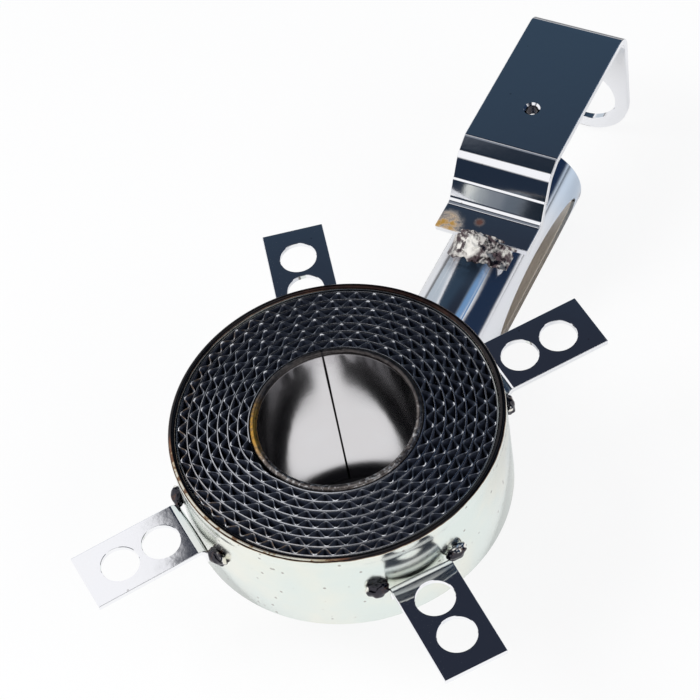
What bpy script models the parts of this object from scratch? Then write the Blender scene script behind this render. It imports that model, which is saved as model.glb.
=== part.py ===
"""Round gas ribbon burner with a central air way, a side mixing tube and a jet bracket.

Metres, +Z up. The origin is on the burner's axis, level with the undersides of the
four legs. The mixing tube and the jet bracket point along +X.
"""
import math

import bmesh
import bpy
import numpy as np
from mathutils import Matrix, Vector

# Driving dimensions
SHEET = 0.0012
CLEARANCE = 0.0003

HEAD_RADIUS = 0.0540
CUP_HEIGHT = 0.0376
RIM_ABOVE_LEGS = 0.0175
RIM_HEM_WIDTH = 0.0023
RIM_HEM_HEIGHT = 0.0060
EDGE_BREAK = 0.0004

CENTRE_BORE_RADIUS = 0.0254
CENTRE_LIP_WIDTH = 0.0024
CENTRE_LIP_HEIGHT = 0.0060
CENTRE_TUBE_LENGTH = 0.0730

BOWL_LAP = 0.0050
BOWL_FLOOR_RADIUS = 0.0330
BOWL_TUBE_PROUD = 0.0007

RIBBON_HEIGHT = 0.0120
RIBBON_BELOW_RIM = 0.0010
FLAT_THICKNESS = 0.0004
WAVE_THICKNESS = 0.00035
RIBBON_GAP = 0.0003
RIBBON_LAYERS = 7
RIBBON_STEP_TURN = 0.12
RIBBON_START_ANGLE = 130.0
WAVE_PITCH = 0.0060
REST_WIDTH = 0.0055

MIX_TUBE_RADIUS = 0.0170
MIX_TUBE_WALL = 0.0015
MIX_TUBE_BELOW_RIM = 0.0535
MIX_TUBE_REACH = 0.1560
AIR_SLOT_LENGTH = 0.0690
AIR_SLOT_HEIGHT = 0.0128
AIR_SLOT_FROM_MOUTH = 0.0060
TUBE_WELD_RADIUS = 0.0012

STRAP_WIDTH = 0.0355
STRAP_THICKNESS = 0.0025
STRAP_START = 0.1070
STRAP_LAP = 0.0130
STRAP_STEP_RUN = 0.0166
STRAP_STEP_RISE = 0.0170
STRAP_CREASE_RUN = 0.0101
STRAP_CREASE_RISE = 0.0141
STRAP_STEP_BEND = 0.0020
STRAP_REACH = 0.2020
STRAP_TAB_BEND = 0.0045
JET_HOLE_RADIUS = 0.0127
SCREW_HOLE_RADIUS = 0.0021
SCREW_HOLE_FROM_TAB = 0.0465
STRAP_WELD_LENGTH = 0.0085
STRAP_WELD_WIDTH = 0.0220
STRAP_WELD_HEIGHT = 0.0040

LEG_ANGLES = (36.7, 145.3, -128.4, -36.7)
LEG_WIDTH = 0.0213
LEG_REACH = 0.0932
LEG_THICKNESS = 0.0018
LEG_FLANGE_DROP = 0.0052
LEG_BEND_RADIUS = 0.0020
LEG_HOLE_RADIUS = 0.00625
LEG_HOLE_FROM_TIP = 0.0126
LEG_HOLE_SPACING = 0.0146
TACK_LENGTH = 0.0066
TACK_PROUD = 0.0036
TACK_HEIGHT = 0.0056
TACK_LEVEL = -0.0004

# Facet counts
ROUND_STEPS = 64
TUBE_STEPS = 40
HOLE_STEPS = 24
BEND_STEPS = 5
FLAT_STEPS_PER_TURN = 48

# Levels and radii that follow from the sizes above
RIM_Z = RIM_ABOVE_LEGS
CUP_BOTTOM_Z = RIM_Z - CUP_HEIGHT
CUP_BORE = HEAD_RADIUS - SHEET
CENTRE_OUTER = CENTRE_BORE_RADIUS + SHEET
CENTRE_LIP_OUTER = CENTRE_BORE_RADIUS + CENTRE_LIP_WIDTH
CENTRE_BOTTOM_Z = RIM_Z - CENTRE_TUBE_LENGTH
BOWL_TOP_RADIUS = CUP_BORE - CLEARANCE
FLOOR_Z = CENTRE_BOTTOM_Z + BOWL_TUBE_PROUD
FLOOR_BORE = CENTRE_OUTER + CLEARANCE
CONE_SLOPE = (BOWL_TOP_RADIUS - BOWL_FLOOR_RADIUS) / (CUP_BOTTOM_Z - FLOOR_Z)
CONE_STRETCH = math.hypot(1.0, CONE_SLOPE)
MIX_AXIS_Z = RIM_Z - MIX_TUBE_BELOW_RIM
MIX_BORE = MIX_TUBE_RADIUS - MIX_TUBE_WALL
STRAP_LOW_Z = MIX_AXIS_Z + MIX_TUBE_RADIUS + CLEARANCE
STRAP_TOP_Z = STRAP_LOW_Z + STRAP_THICKNESS + STRAP_STEP_RISE
RIBBON_TOP_Z = RIM_Z - RIBBON_BELOW_RIM
RIBBON_BOTTOM_Z = RIBBON_TOP_Z - RIBBON_HEIGHT


def clear_scene():
    """Remove every object that the file starts with."""
    for obj in list(bpy.data.objects):
        bpy.data.objects.remove(obj, do_unlink=True)


def make_collection(name):
    """A new collection under the scene."""
    collection = bpy.data.collections.new(name)
    bpy.context.scene.collection.children.link(collection)
    return collection


def make_material(name, colour, roughness, metallic=1.0):
    """A Principled BSDF with one colour."""
    material = bpy.data.materials.new(name)
    material.use_nodes = True
    shader = material.node_tree.nodes["Principled BSDF"]
    shader.inputs["Base Color"].default_value = (*colour, 1.0)
    shader.inputs["Roughness"].default_value = roughness
    shader.inputs["Metallic"].default_value = metallic
    return material


def add_object(name, mesh, collection, material=None, parent=None):
    """Link a mesh as a named object."""
    obj = bpy.data.objects.new(name, mesh)
    collection.objects.link(obj)
    if material:
        obj.data.materials.append(material)
    obj.parent = parent
    return obj


def add_empty(name, collection, angle=0.0):
    """An empty on the burner's axis, turned about it."""
    empty = bpy.data.objects.new(name, None)
    empty.rotation_euler.z = angle
    collection.objects.link(empty)
    return empty


def mark_cutter(obj):
    """Show a cutting shape as wire only."""
    obj.hide_render = True
    obj.display_type = "WIRE"
    return obj


def shade_round(obj):
    """Smooth shading with sharp edges kept."""
    obj.data.shade_smooth()
    obj.data.set_sharp_from_angle(angle=math.radians(35))


def boolean(obj, other, operation="DIFFERENCE"):
    """Add a Boolean modifier that uses another object."""
    modifier = obj.modifiers.new(operation.lower(), "BOOLEAN")
    modifier.operation = operation
    modifier.solver = "EXACT"
    modifier.object = other


def turned(name, profile, collection, material=None, parent=None, closed=True):
    """Turn a profile of (radius, height) points about Z, run down its outer side."""
    mesh = bpy.data.meshes.new(name)
    count = len(profile)
    edges = [(i, i + 1) for i in range(count - 1)]
    if closed:
        edges.append((count - 1, 0))
    mesh.from_pydata([(r, 0.0, z) for r, z in profile], edges, [])
    obj = add_object(name, mesh, collection, material, parent)
    screw = obj.modifiers.new("turn", "SCREW")
    screw.steps = ROUND_STEPS
    screw.render_steps = ROUND_STEPS
    screw.use_merge_vertices = True
    screw.merge_threshold = 0.00001
    return obj


def cylinder(name, radius, start, end, collection, steps=TUBE_STEPS):
    """A closed cylinder between two points."""
    start = Vector(start)
    axis = Vector(end) - start
    mesh = bpy.data.meshes.new(name)
    bm = bmesh.new()
    bmesh.ops.create_cone(
        bm, cap_ends=True, segments=steps, radius1=radius, radius2=radius, depth=axis.length)
    bm.to_mesh(mesh)
    bm.free()
    obj = add_object(name, mesh, collection)
    turn = axis.to_track_quat("Z", "Y").to_matrix().to_4x4()
    obj.matrix_world = Matrix.Translation(start + axis / 2) @ turn
    return obj


def outline_solid(name, points, depth, turn, collection, material=None, parent=None):
    """A flat outline of (u, v) points given a depth, welded to one mesh, then turned."""
    curve = bpy.data.curves.new(name, "CURVE")
    curve.dimensions = "2D"
    curve.fill_mode = "BOTH"
    curve.extrude = depth / 2
    spline = curve.splines.new("POLY")
    spline.points.add(len(points) - 1)
    for point, (u, v) in zip(spline.points, points):
        point.co = (u, v, 0.0, 1.0)
    spline.use_cyclic_u = True
    return curve_to_mesh(name, curve, collection, material, parent, turn)


def curve_to_mesh(name, curve, collection, material=None, parent=None, turn=None):
    """Replace a curve by its mesh, with its caps welded."""
    guide = bpy.data.objects.new(name + "_guide", curve)
    collection.objects.link(guide)
    graph = bpy.context.evaluated_depsgraph_get()
    mesh = bpy.data.meshes.new_from_object(guide.evaluated_get(graph))
    mesh.name = name
    bpy.data.objects.remove(guide, do_unlink=True)
    bm = bmesh.new()
    bm.from_mesh(mesh)
    bmesh.ops.remove_doubles(bm, verts=bm.verts, dist=0.000005)
    bmesh.ops.recalc_face_normals(bm, faces=bm.faces)
    if turn is not None:
        bmesh.ops.transform(bm, matrix=turn, verts=bm.verts)
    bm.to_mesh(mesh)
    bm.free()
    mesh.materials.clear()
    return add_object(name, mesh, collection, material, parent)


def arc(centre, radius, start, end, steps):
    """Points on an arc, angles in radians."""
    return [(centre[0] + radius * math.cos(start + (end - start) * i / steps),
             centre[1] + radius * math.sin(start + (end - start) * i / steps))
            for i in range(steps + 1)]


def upright():
    """Stands an outline drawn in (x, height) upright, its depth across Y."""
    return Matrix.Rotation(math.pi / 2, 4, "X")


def endways():
    """Stands an outline drawn in (y, height) upright, its depth along X."""
    return Matrix.Rotation(math.pi / 2, 4, "Z") @ Matrix.Rotation(math.pi / 2, 4, "X")


def cone_radius(z, offset=0.0):
    """Outer radius of the bowl's cone at a height, moved out square to its wall."""
    return BOWL_FLOOR_RADIUS + (z - FLOOR_Z) * CONE_SLOPE + offset * CONE_STRETCH


def build_cup(parts, material, frame):
    """Cup wall with its rim folded in on itself."""
    hem_bore = HEAD_RADIUS - RIM_HEM_WIDTH
    hem_z = RIM_Z - RIM_HEM_HEIGHT
    profile = [
        (HEAD_RADIUS - EDGE_BREAK, RIM_Z), (HEAD_RADIUS, RIM_Z - EDGE_BREAK),
        (HEAD_RADIUS, CUP_BOTTOM_Z), (CUP_BORE, CUP_BOTTOM_Z),
        (CUP_BORE, hem_z), (hem_bore, hem_z),
        (hem_bore, RIM_Z - EDGE_BREAK), (hem_bore + EDGE_BREAK, RIM_Z)]
    shade_round(turned("burner_cup", profile, parts, material, frame))


def build_centre_tube(parts, material, frame):
    """Open tube that brings air up the middle, with a thick top lip."""
    lip_z = RIM_Z - CENTRE_LIP_HEIGHT
    profile = [
        (CENTRE_LIP_OUTER - EDGE_BREAK, RIM_Z), (CENTRE_LIP_OUTER, RIM_Z - EDGE_BREAK),
        (CENTRE_LIP_OUTER, lip_z), (CENTRE_OUTER, lip_z),
        (CENTRE_OUTER, CENTRE_BOTTOM_Z), (CENTRE_BORE_RADIUS, CENTRE_BOTTOM_Z),
        (CENTRE_BORE_RADIUS, RIM_Z - EDGE_BREAK), (CENTRE_BORE_RADIUS + EDGE_BREAK, RIM_Z)]
    shade_round(turned("centre_air_tube", profile, parts, material, frame))


def build_bowl(parts, cutters, material, frame):
    """Bowl that closes the cup onto the central tube, holed for the mixing tube."""
    knee_z = CUP_BOTTOM_Z + SHEET * (CONE_STRETCH - 1.0) / CONE_SLOPE
    floor_top = FLOOR_Z + SHEET
    profile = [
        (BOWL_TOP_RADIUS, CUP_BOTTOM_Z + BOWL_LAP), (BOWL_TOP_RADIUS, CUP_BOTTOM_Z),
        (BOWL_FLOOR_RADIUS, FLOOR_Z), (FLOOR_BORE, FLOOR_Z),
        (FLOOR_BORE, floor_top), (cone_radius(floor_top, -SHEET), floor_top),
        (BOWL_TOP_RADIUS - SHEET, knee_z), (BOWL_TOP_RADIUS - SHEET, CUP_BOTTOM_Z + BOWL_LAP)]
    bowl = turned("plenum_bowl", profile, parts, material, frame)
    port = cylinder(
        "bowl_port_cutter", MIX_BORE, (0.0, 0.0, MIX_AXIS_Z),
        (HEAD_RADIUS + MIX_TUBE_RADIUS, 0.0, MIX_AXIS_Z), cutters)
    boolean(bowl, mark_cutter(port))
    shade_round(bowl)


def ribbon(name, points, thickness, parts, material, frame):
    """A standing strip along plan points, one unbroken piece."""
    curve = bpy.data.curves.new(name, "CURVE")
    curve.dimensions = "3D"
    curve.extrude = RIBBON_HEIGHT / 2
    curve.twist_mode = "Z_UP"
    spline = curve.splines.new("POLY")
    spline.points.add(len(points) - 1)
    middle_z = (RIBBON_TOP_Z + RIBBON_BOTTOM_Z) / 2
    for point, (x, y) in zip(spline.points, points):
        point.co = (x, y, middle_z, 1.0)
    strip = curve_to_mesh(name, curve, parts, material, frame)
    solid = strip.modifiers.new("gauge", "SOLIDIFY")
    solid.thickness = thickness
    solid.offset = 0.0
    solid.use_even_offset = True
    solid.use_rim = True


def least_self_gap(points, turns, thickness):
    """Least clear gap between turns of one strip, measured on its points."""
    plan = np.array(points)
    turn = np.array(turns)
    least = np.inf
    for start in range(0, len(plan), 200):
        part = plan[start:start + 200]
        apart = np.linalg.norm(part[:, None, :] - plan[None, :, :], axis=2)
        other_turn = np.abs(turn[start:start + 200, None] - turn[None, :]) > 0.5
        least = min(least, apart[other_turn].min())
    return least - thickness


def plan_point(radius, turn):
    """Point in plan; the strips wind clockwise as they go out."""
    angle = math.radians(RIBBON_START_ANGLE) - 2.0 * math.pi * turn
    return (radius * math.cos(angle), radius * math.sin(angle))


def layers_out(turn):
    """Layers wound on at a turn: level round most of it, then one step out over the start."""
    whole = np.floor(turn)
    ramp = np.clip((turn - whole - 1.0 + RIBBON_STEP_TURN) / RIBBON_STEP_TURN, 0.0, 1.0)
    return whole + ramp * ramp * (3.0 - 2.0 * ramp)


def build_ribbons(parts, flat_material, wave_material, frame):
    """Flat strip wound from the central tube to the rim, and corrugated strip between its turns."""
    first = CENTRE_LIP_OUTER + RIBBON_GAP + FLAT_THICKNESS / 2
    last = HEAD_RADIUS - RIM_HEM_WIDTH - RIBBON_GAP - FLAT_THICKNESS / 2
    pitch = (last - first) / RIBBON_LAYERS
    flat_span = RIBBON_LAYERS + 1.0 - RIBBON_STEP_TURN
    flat_turns = np.linspace(0.0, flat_span, round(flat_span * FLAT_STEPS_PER_TURN) + 1)
    flat_points = [plan_point(first + pitch * layers_out(turn), turn) for turn in flat_turns]

    spare = FLAT_THICKNESS + 2.0 * RIBBON_GAP
    lean = math.atan2(pitch - spare - WAVE_THICKNESS, WAVE_PITCH / 2)
    spare += WAVE_THICKNESS / math.cos(lean)
    fine = np.linspace(-RIBBON_STEP_TURN, RIBBON_LAYERS, 4000)
    inside = first + pitch * np.clip(layers_out(fine), 0.0, RIBBON_LAYERS)
    outside = first + pitch * np.clip(layers_out(fine + 1.0), 0.0, RIBBON_LAYERS)
    room = outside - inside > spare
    fine, middle, swing = fine[room], (inside + outside)[room] / 2, (outside - inside - spare)[room] / 2
    runs = np.concatenate(([0.0], np.cumsum(math.pi * (middle[1:] + middle[:-1]) * np.diff(fine))))
    stops = np.linspace(0.0, runs[-1], 2 * round(runs[-1] / WAVE_PITCH) + 1)
    wave_turns = np.interp(stops, runs, fine)
    sides = np.where(np.arange(len(stops)) % 2, 1.0, -1.0)
    wave_radii = np.interp(stops, runs, middle) + sides * np.interp(stops, runs, swing)
    wave_points = [plan_point(radius, turn) for radius, turn in zip(wave_radii, wave_turns)]

    ribbon("flat_ribbon", flat_points, FLAT_THICKNESS, parts, flat_material, frame)
    ribbon("corrugated_ribbon", wave_points, WAVE_THICKNESS, parts, wave_material, frame)
    flat_gap = least_self_gap(flat_points, flat_turns, FLAT_THICKNESS)
    wave_gap = least_self_gap(wave_points, wave_turns, WAVE_THICKNESS)
    print(f"flat_ribbon: least gap to itself {1000 * flat_gap:.2f} mm")
    print(f"corrugated_ribbon: least gap to itself {1000 * wave_gap:.2f} mm")


def build_rests(parts, material, frame):
    """Two flat rings that the wound strips stand on."""
    top = RIBBON_BOTTOM_Z - CLEARANCE
    outer = CUP_BORE - CLEARANCE
    inner = CENTRE_OUTER + CLEARANCE
    for name, large in (("ribbon_rest_outer", outer), ("ribbon_rest_inner", inner + REST_WIDTH)):
        small = large - REST_WIDTH
        profile = [(large, top), (large, top - SHEET), (small, top - SHEET), (small, top)]
        shade_round(turned(name, profile, parts, material, frame))


def build_mixing_tube(parts, cutters, material, frame):
    """Straight tube, fitted to the bowl at one end, open at the other, slotted both sides."""
    tube = cylinder(
        "mixing_tube", MIX_TUBE_RADIUS, (0.0, 0.0, MIX_AXIS_Z), (MIX_TUBE_REACH, 0.0, MIX_AXIS_Z), parts)
    tube.data.materials.append(material)
    tube.parent = frame
    skirt_z = CUP_BOTTOM_Z - CLEARANCE
    deep_z = FLOOR_Z - MIX_TUBE_RADIUS / 2
    head = turned("head_envelope_cutter", [
        (0.0, RIM_Z), (HEAD_RADIUS + CLEARANCE, RIM_Z), (HEAD_RADIUS + CLEARANCE, skirt_z),
        (cone_radius(skirt_z, CLEARANCE), skirt_z), (cone_radius(deep_z, CLEARANCE), deep_z),
        (0.0, deep_z)], cutters, closed=False)
    boolean(tube, mark_cutter(head))
    bore = cylinder(
        "tube_bore_cutter", MIX_BORE, (-MIX_TUBE_RADIUS, 0.0, MIX_AXIS_Z),
        (MIX_TUBE_REACH + MIX_TUBE_RADIUS, 0.0, MIX_AXIS_Z), cutters)
    boolean(tube, mark_cutter(bore))
    slot_x = MIX_TUBE_REACH - AIR_SLOT_FROM_MOUTH - AIR_SLOT_LENGTH / 2
    oval = [(slot_x + AIR_SLOT_LENGTH / 2 * u, MIX_AXIS_Z + AIR_SLOT_HEIGHT / 2 * v)
            for u, v in arc((0.0, 0.0), 1.0, 0.0, 2.0 * math.pi, TUBE_STEPS)[:-1]]
    slot = outline_solid("air_slot_cutter", oval, MIX_TUBE_RADIUS * 4, upright(), cutters)
    boolean(tube, mark_cutter(slot))
    shade_round(tube)


def build_tube_weld(parts, material, frame):
    """Weld bead in the corner between the mixing tube and the bowl."""
    ring = MIX_TUBE_RADIUS + CLEARANCE + TUBE_WELD_RADIUS
    stand_off = (CLEARANCE + TUBE_WELD_RADIUS) * CONE_STRETCH
    fall = (HEAD_RADIUS - BOWL_FLOOR_RADIUS) / (CUP_BOTTOM_Z - FLOOR_Z)
    curve = bpy.data.curves.new("tube_weld", "CURVE")
    curve.dimensions = "3D"
    curve.bevel_depth = TUBE_WELD_RADIUS
    curve.bevel_resolution = 1
    spline = curve.splines.new("POLY")
    spline.points.add(TUBE_STEPS - 1)
    for i, point in enumerate(spline.points):
        angle = 2.0 * math.pi * i / TUBE_STEPS
        y = ring * math.cos(angle)
        z = MIX_AXIS_Z + ring * math.sin(angle)
        radius = HEAD_RADIUS - max(0.0, CUP_BOTTOM_Z - z) * fall + stand_off
        point.co = (math.sqrt(radius ** 2 - y ** 2), y, z, 1.0)
    spline.use_cyclic_u = True
    shade_round(curve_to_mesh("tube_weld", curve, parts, material, frame))


def strap_outline():
    """Both sides of the bent strap in (x, height), from its middle line and its bends."""
    half = STRAP_THICKNESS / 2
    low_z = STRAP_LOW_Z + half
    top_z = STRAP_TOP_Z - half
    step_x = STRAP_START + STRAP_LAP
    tab_x = STRAP_REACH - half
    corners = [Vector((STRAP_START, low_z)), Vector((step_x, low_z)),
               Vector((step_x + STRAP_CREASE_RUN, low_z + STRAP_CREASE_RISE)),
               Vector((step_x + STRAP_STEP_RUN, top_z)), Vector((tab_x, top_z)),
               Vector((tab_x, MIX_AXIS_Z - STRAP_WIDTH))]
    bends = [STRAP_STEP_BEND, STRAP_STEP_BEND, STRAP_STEP_BEND, STRAP_TAB_BEND]
    upper = []
    lower = []

    def place(point, heading):
        """Put one point on each side of the middle line."""
        normal = Vector((-heading.y, heading.x))
        upper.append(tuple(point + normal * half))
        lower.append(tuple(point - normal * half))

    place(corners[0], (corners[1] - corners[0]).normalized())
    for before, corner, after, inside in zip(corners, corners[1:], corners[2:], bends):
        heading_in = (corner - before).normalized()
        heading_out = (after - corner).normalized()
        turn = math.atan2(heading_in.x * heading_out.y - heading_in.y * heading_out.x,
                          heading_in.dot(heading_out))
        bend = inside + half
        start = corner - heading_in * bend * math.tan(abs(turn) / 2)
        centre = start + Vector((-heading_in.y, heading_in.x)) * math.copysign(bend, turn)
        for i in range(BEND_STEPS + 1):
            swing = Matrix.Rotation(turn * i / BEND_STEPS, 2)
            place(centre + swing @ (start - centre), swing @ heading_in)
    place(corners[-1], (corners[-1] - corners[-2]).normalized())
    return upper + lower[::-1]


def build_bracket(parts, cutters, material, frame):
    """Strap that is welded on the tube, steps up, and turns down into the jet tab."""
    strap = outline_solid(
        "orifice_bracket", strap_outline(), STRAP_WIDTH * 1.2, upright(), parts, material, frame)
    half = STRAP_WIDTH / 2
    top = STRAP_TOP_Z + STRAP_WIDTH
    guide = [(half, top), (-half, top)]
    guide += arc((0.0, MIX_AXIS_Z), half, math.pi, 2.0 * math.pi, HOLE_STEPS)
    mask = outline_solid("strap_width_guide", guide, STRAP_REACH * 2.5, endways(), cutters)
    boolean(strap, mark_cutter(mask), "INTERSECT")
    jet = cylinder(
        "jet_hole_cutter", JET_HOLE_RADIUS, (STRAP_REACH - half, 0.0, MIX_AXIS_Z),
        (STRAP_REACH + half, 0.0, MIX_AXIS_Z), cutters, HOLE_STEPS)
    boolean(strap, mark_cutter(jet))
    screw_x = STRAP_REACH - SCREW_HOLE_FROM_TAB
    screw = cylinder(
        "screw_hole_cutter", SCREW_HOLE_RADIUS, (screw_x, 0.0, STRAP_TOP_Z - STRAP_THICKNESS * 2),
        (screw_x, 0.0, STRAP_TOP_Z + STRAP_THICKNESS), cutters, HOLE_STEPS // 2)
    boolean(strap, mark_cutter(screw))
    shade_round(strap)


def build_bracket_weld(parts, cutters, material, frame):
    """Weld bead across the strap's end, shaped to the tube under it."""
    mesh = bpy.data.meshes.new("bracket_weld")
    bm = bmesh.new()
    bmesh.ops.create_uvsphere(bm, u_segments=14, v_segments=10, radius=1.0)
    bmesh.ops.scale(
        bm, vec=(STRAP_WELD_LENGTH, STRAP_WELD_WIDTH / 2, STRAP_WELD_HEIGHT), verts=bm.verts)
    bm.to_mesh(mesh)
    bm.free()
    bead = add_object("bracket_weld", mesh, parts, material, frame)
    bead.location = (STRAP_START, 0.0, STRAP_LOW_Z)
    seat = cylinder(
        "weld_seat_cutter", MIX_TUBE_RADIUS + CLEARANCE, (0.0, 0.0, MIX_AXIS_Z),
        (MIX_TUBE_REACH, 0.0, MIX_AXIS_Z), cutters)
    boolean(bead, mark_cutter(seat))
    end = STRAP_START - CLEARANCE
    block = [(end, STRAP_LOW_Z - STRAP_WIDTH), (end + STRAP_WIDTH, STRAP_LOW_Z - STRAP_WIDTH),
             (end + STRAP_WIDTH, STRAP_TOP_Z), (end, STRAP_TOP_Z)]
    stop = outline_solid("weld_stop_cutter", block, STRAP_WIDTH * 2, upright(), cutters)
    boolean(bead, mark_cutter(stop))
    shade_round(bead)


def leg_outline():
    """Side view of a leg: flat plate, bend, and the short flange turned down on the cup."""
    face = HEAD_RADIUS + CLEARANCE
    outside = LEG_BEND_RADIUS + LEG_THICKNESS
    centre = (face + outside, -LEG_BEND_RADIUS)
    points = [(LEG_REACH, 0.0), (LEG_REACH, LEG_THICKNESS)]
    points += arc(centre, outside, 0.5 * math.pi, math.pi, BEND_STEPS)
    points += [(face, -LEG_FLANGE_DROP), (face + LEG_THICKNESS, -LEG_FLANGE_DROP)]
    points += arc(centre, LEG_BEND_RADIUS, math.pi, 0.5 * math.pi, BEND_STEPS)
    return points


def build_legs(parts, cutters, leg_material, tack_material):
    """Four legs with two holes each, every leg held by two tack welds."""
    for number, degrees in enumerate(LEG_ANGLES, start=1):
        angle = math.radians(degrees)
        mount = add_empty(f"leg_{number}_mount", parts, angle)
        leg = outline_solid(
            f"leg_{number}", leg_outline(), LEG_WIDTH, upright(), parts, leg_material, mount)
        for hole in range(2):
            x = LEG_REACH - LEG_HOLE_FROM_TIP - hole * LEG_HOLE_SPACING
            cutter = cylinder(
                f"leg_{number}_hole_{hole}_cutter", LEG_HOLE_RADIUS, (x, 0.0, -LEG_THICKNESS),
                (x, 0.0, LEG_THICKNESS * 2), cutters, HOLE_STEPS)
            cutter.matrix_world = Matrix.Rotation(angle, 4, "Z") @ cutter.matrix_world
            boolean(leg, mark_cutter(cutter))
        shade_round(leg)
        build_tacks(number, parts, tack_material, mount)


def build_tacks(number, parts, material, mount):
    """Two tack welds along the cup's wall, one at each side of a leg's flange."""
    aside = LEG_WIDTH / 2 + CLEARANCE + TACK_LENGTH / 2
    wall = HEAD_RADIUS + CLEARANCE + TACK_PROUD / 2
    out = math.sqrt(wall ** 2 - aside ** 2)
    for letter, sign in (("a", 1.0), ("b", -1.0)):
        mesh = bpy.data.meshes.new(f"leg_{number}_tack_{letter}")
        bm = bmesh.new()
        bmesh.ops.create_uvsphere(bm, u_segments=10, v_segments=6, radius=0.5)
        bmesh.ops.scale(bm, vec=(TACK_PROUD, TACK_LENGTH, TACK_HEIGHT), verts=bm.verts)
        bm.to_mesh(mesh)
        bm.free()
        tack = add_object(mesh.name, mesh, parts, material, mount)
        tack.location = (out, sign * aside, TACK_LEVEL)
        tack.rotation_euler.z = math.atan2(sign * aside, out)
        shade_round(tack)


def main():
    """Build every piece of the burner."""
    clear_scene()
    parts = make_collection("ribbon_burner")
    cutters = make_collection("cutters")
    plated = make_material("plated_sheet", (0.62, 0.63, 0.64), 0.22)
    strip = make_material("heat_dulled_strip", (0.16, 0.17, 0.20), 0.38)
    wave = make_material("heat_dulled_wave", (0.12, 0.13, 0.16), 0.42)
    bright = make_material("bright_tube", (0.66, 0.68, 0.72), 0.16)
    strap = make_material("plated_strap", (0.40, 0.42, 0.46), 0.20)
    weld = make_material("weld_metal", (0.42, 0.40, 0.36), 0.45)
    frame = add_empty("burner_axis", parts)
    build_cup(parts, plated, frame)
    build_bowl(parts, cutters, plated, frame)
    build_centre_tube(parts, bright, frame)
    build_ribbons(parts, strip, wave, frame)
    build_rests(parts, plated, frame)
    build_mixing_tube(parts, cutters, bright, frame)
    build_tube_weld(parts, weld, frame)
    build_bracket(parts, cutters, strap, frame)
    build_bracket_weld(parts, cutters, weld, frame)
    build_legs(parts, cutters, strap, weld)


main()
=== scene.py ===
"""Dressed model of a round gas ribbon burner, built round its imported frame."""
import math

import bmesh
import bpy
import numpy as np
from bpy.props import FloatProperty, FloatVectorProperty, IntProperty, PointerProperty
from mathutils import Matrix, Vector, noise


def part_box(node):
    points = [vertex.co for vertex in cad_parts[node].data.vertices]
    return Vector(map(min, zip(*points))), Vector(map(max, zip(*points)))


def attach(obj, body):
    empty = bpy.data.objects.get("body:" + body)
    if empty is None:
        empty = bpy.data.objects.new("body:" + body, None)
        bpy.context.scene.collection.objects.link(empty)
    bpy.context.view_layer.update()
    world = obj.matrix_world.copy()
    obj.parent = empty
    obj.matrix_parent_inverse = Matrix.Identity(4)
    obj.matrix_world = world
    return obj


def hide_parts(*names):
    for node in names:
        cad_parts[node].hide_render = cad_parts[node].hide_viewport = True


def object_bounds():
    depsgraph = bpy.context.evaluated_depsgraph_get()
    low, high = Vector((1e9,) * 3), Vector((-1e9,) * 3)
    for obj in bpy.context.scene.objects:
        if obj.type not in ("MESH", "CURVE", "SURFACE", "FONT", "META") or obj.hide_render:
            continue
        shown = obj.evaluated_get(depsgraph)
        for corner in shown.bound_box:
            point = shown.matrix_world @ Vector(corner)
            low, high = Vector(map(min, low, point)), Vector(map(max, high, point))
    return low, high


bl_info = {
    "name": "Ribbon Burner",
    "version": (1, 0, 0),
    "blender": (4, 5, 0),
    "location": "3D View > Sidebar > Burner",
    "description": "Builds the visible pieces of a gas ribbon burner and its studio",
    "category": "Object",
}

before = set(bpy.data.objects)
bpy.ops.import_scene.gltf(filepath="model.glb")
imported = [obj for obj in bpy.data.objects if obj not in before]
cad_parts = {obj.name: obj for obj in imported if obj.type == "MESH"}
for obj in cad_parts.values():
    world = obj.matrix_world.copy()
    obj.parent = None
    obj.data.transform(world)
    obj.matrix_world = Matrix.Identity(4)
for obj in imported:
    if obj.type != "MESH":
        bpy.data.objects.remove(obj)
CAD_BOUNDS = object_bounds()
BODY = "root"
CUP_LOW, CUP_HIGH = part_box("burner_cup")
BOWL_LOW, BOWL_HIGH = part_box("plenum_bowl")
AIR_LOW, AIR_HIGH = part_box("centre_air_tube")
STRIP_LOW, STRIP_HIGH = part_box("flat_ribbon")
FEED_LOW, FEED_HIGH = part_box("mixing_tube")
STRAP_LOW, STRAP_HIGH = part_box("orifice_bracket")
LEG_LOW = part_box("leg_1")[0]
RIM_Z = CUP_HIGH.z
HEAD_RADIUS = CUP_HIGH.x
FEED_RADIUS = (FEED_HIGH.y - FEED_LOW.y) / 2
FEED_Z = (FEED_HIGH.z + FEED_LOW.z) / 2
LEG_ANGLES = (36.7, 145.3, -128.4, -36.7)
LEG_HOLES_FROM_TIP = (0.0126, 0.0272)

# Clearance between neighbouring pieces, and the distance at which two points count as one.
GAP = 0.0003
SAME_POINT = 0.000002
TURN = 2.0 * math.pi

# The bracket's step: points of its middle line from the step's foot, and the radius of each bend.
STEP_FROM_END = 0.013
STEP_RISE = ((0.0046, 0.0069), (0.0053, 0.0074), (0.0101, 0.0141))
STEP_RUN = 0.0166
STEP_BENDS = [0.0050, 0.0004, 0.0004, 0.0085, 0.0016]
TAB_BEND = 0.0045
BEND_STEPS = 12

# Screw hole's collar under the bracket.
COLLAR_RADIUS = 0.0034
COLLAR_DEEP = 0.0034
COLLAR_EDGE = 0.0009

# How straight the corrugations run between their crests: 0 is a sine, 1 a zigzag.
WAVE_SHARPNESS = 0.68
STEPS_PER_WAVE = 16
STEPS_PER_TURN = 180

# Masks that leave out an axis, for the distance to it.
LEVEL = (1.0, 1.0, 0.0)
ROUND_FEED = (0.0, 1.0, 1.0)
ALL_WAYS = (1.0, 1.0, 1.0)

NOISE_ROUGHNESS = 0.55

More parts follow.
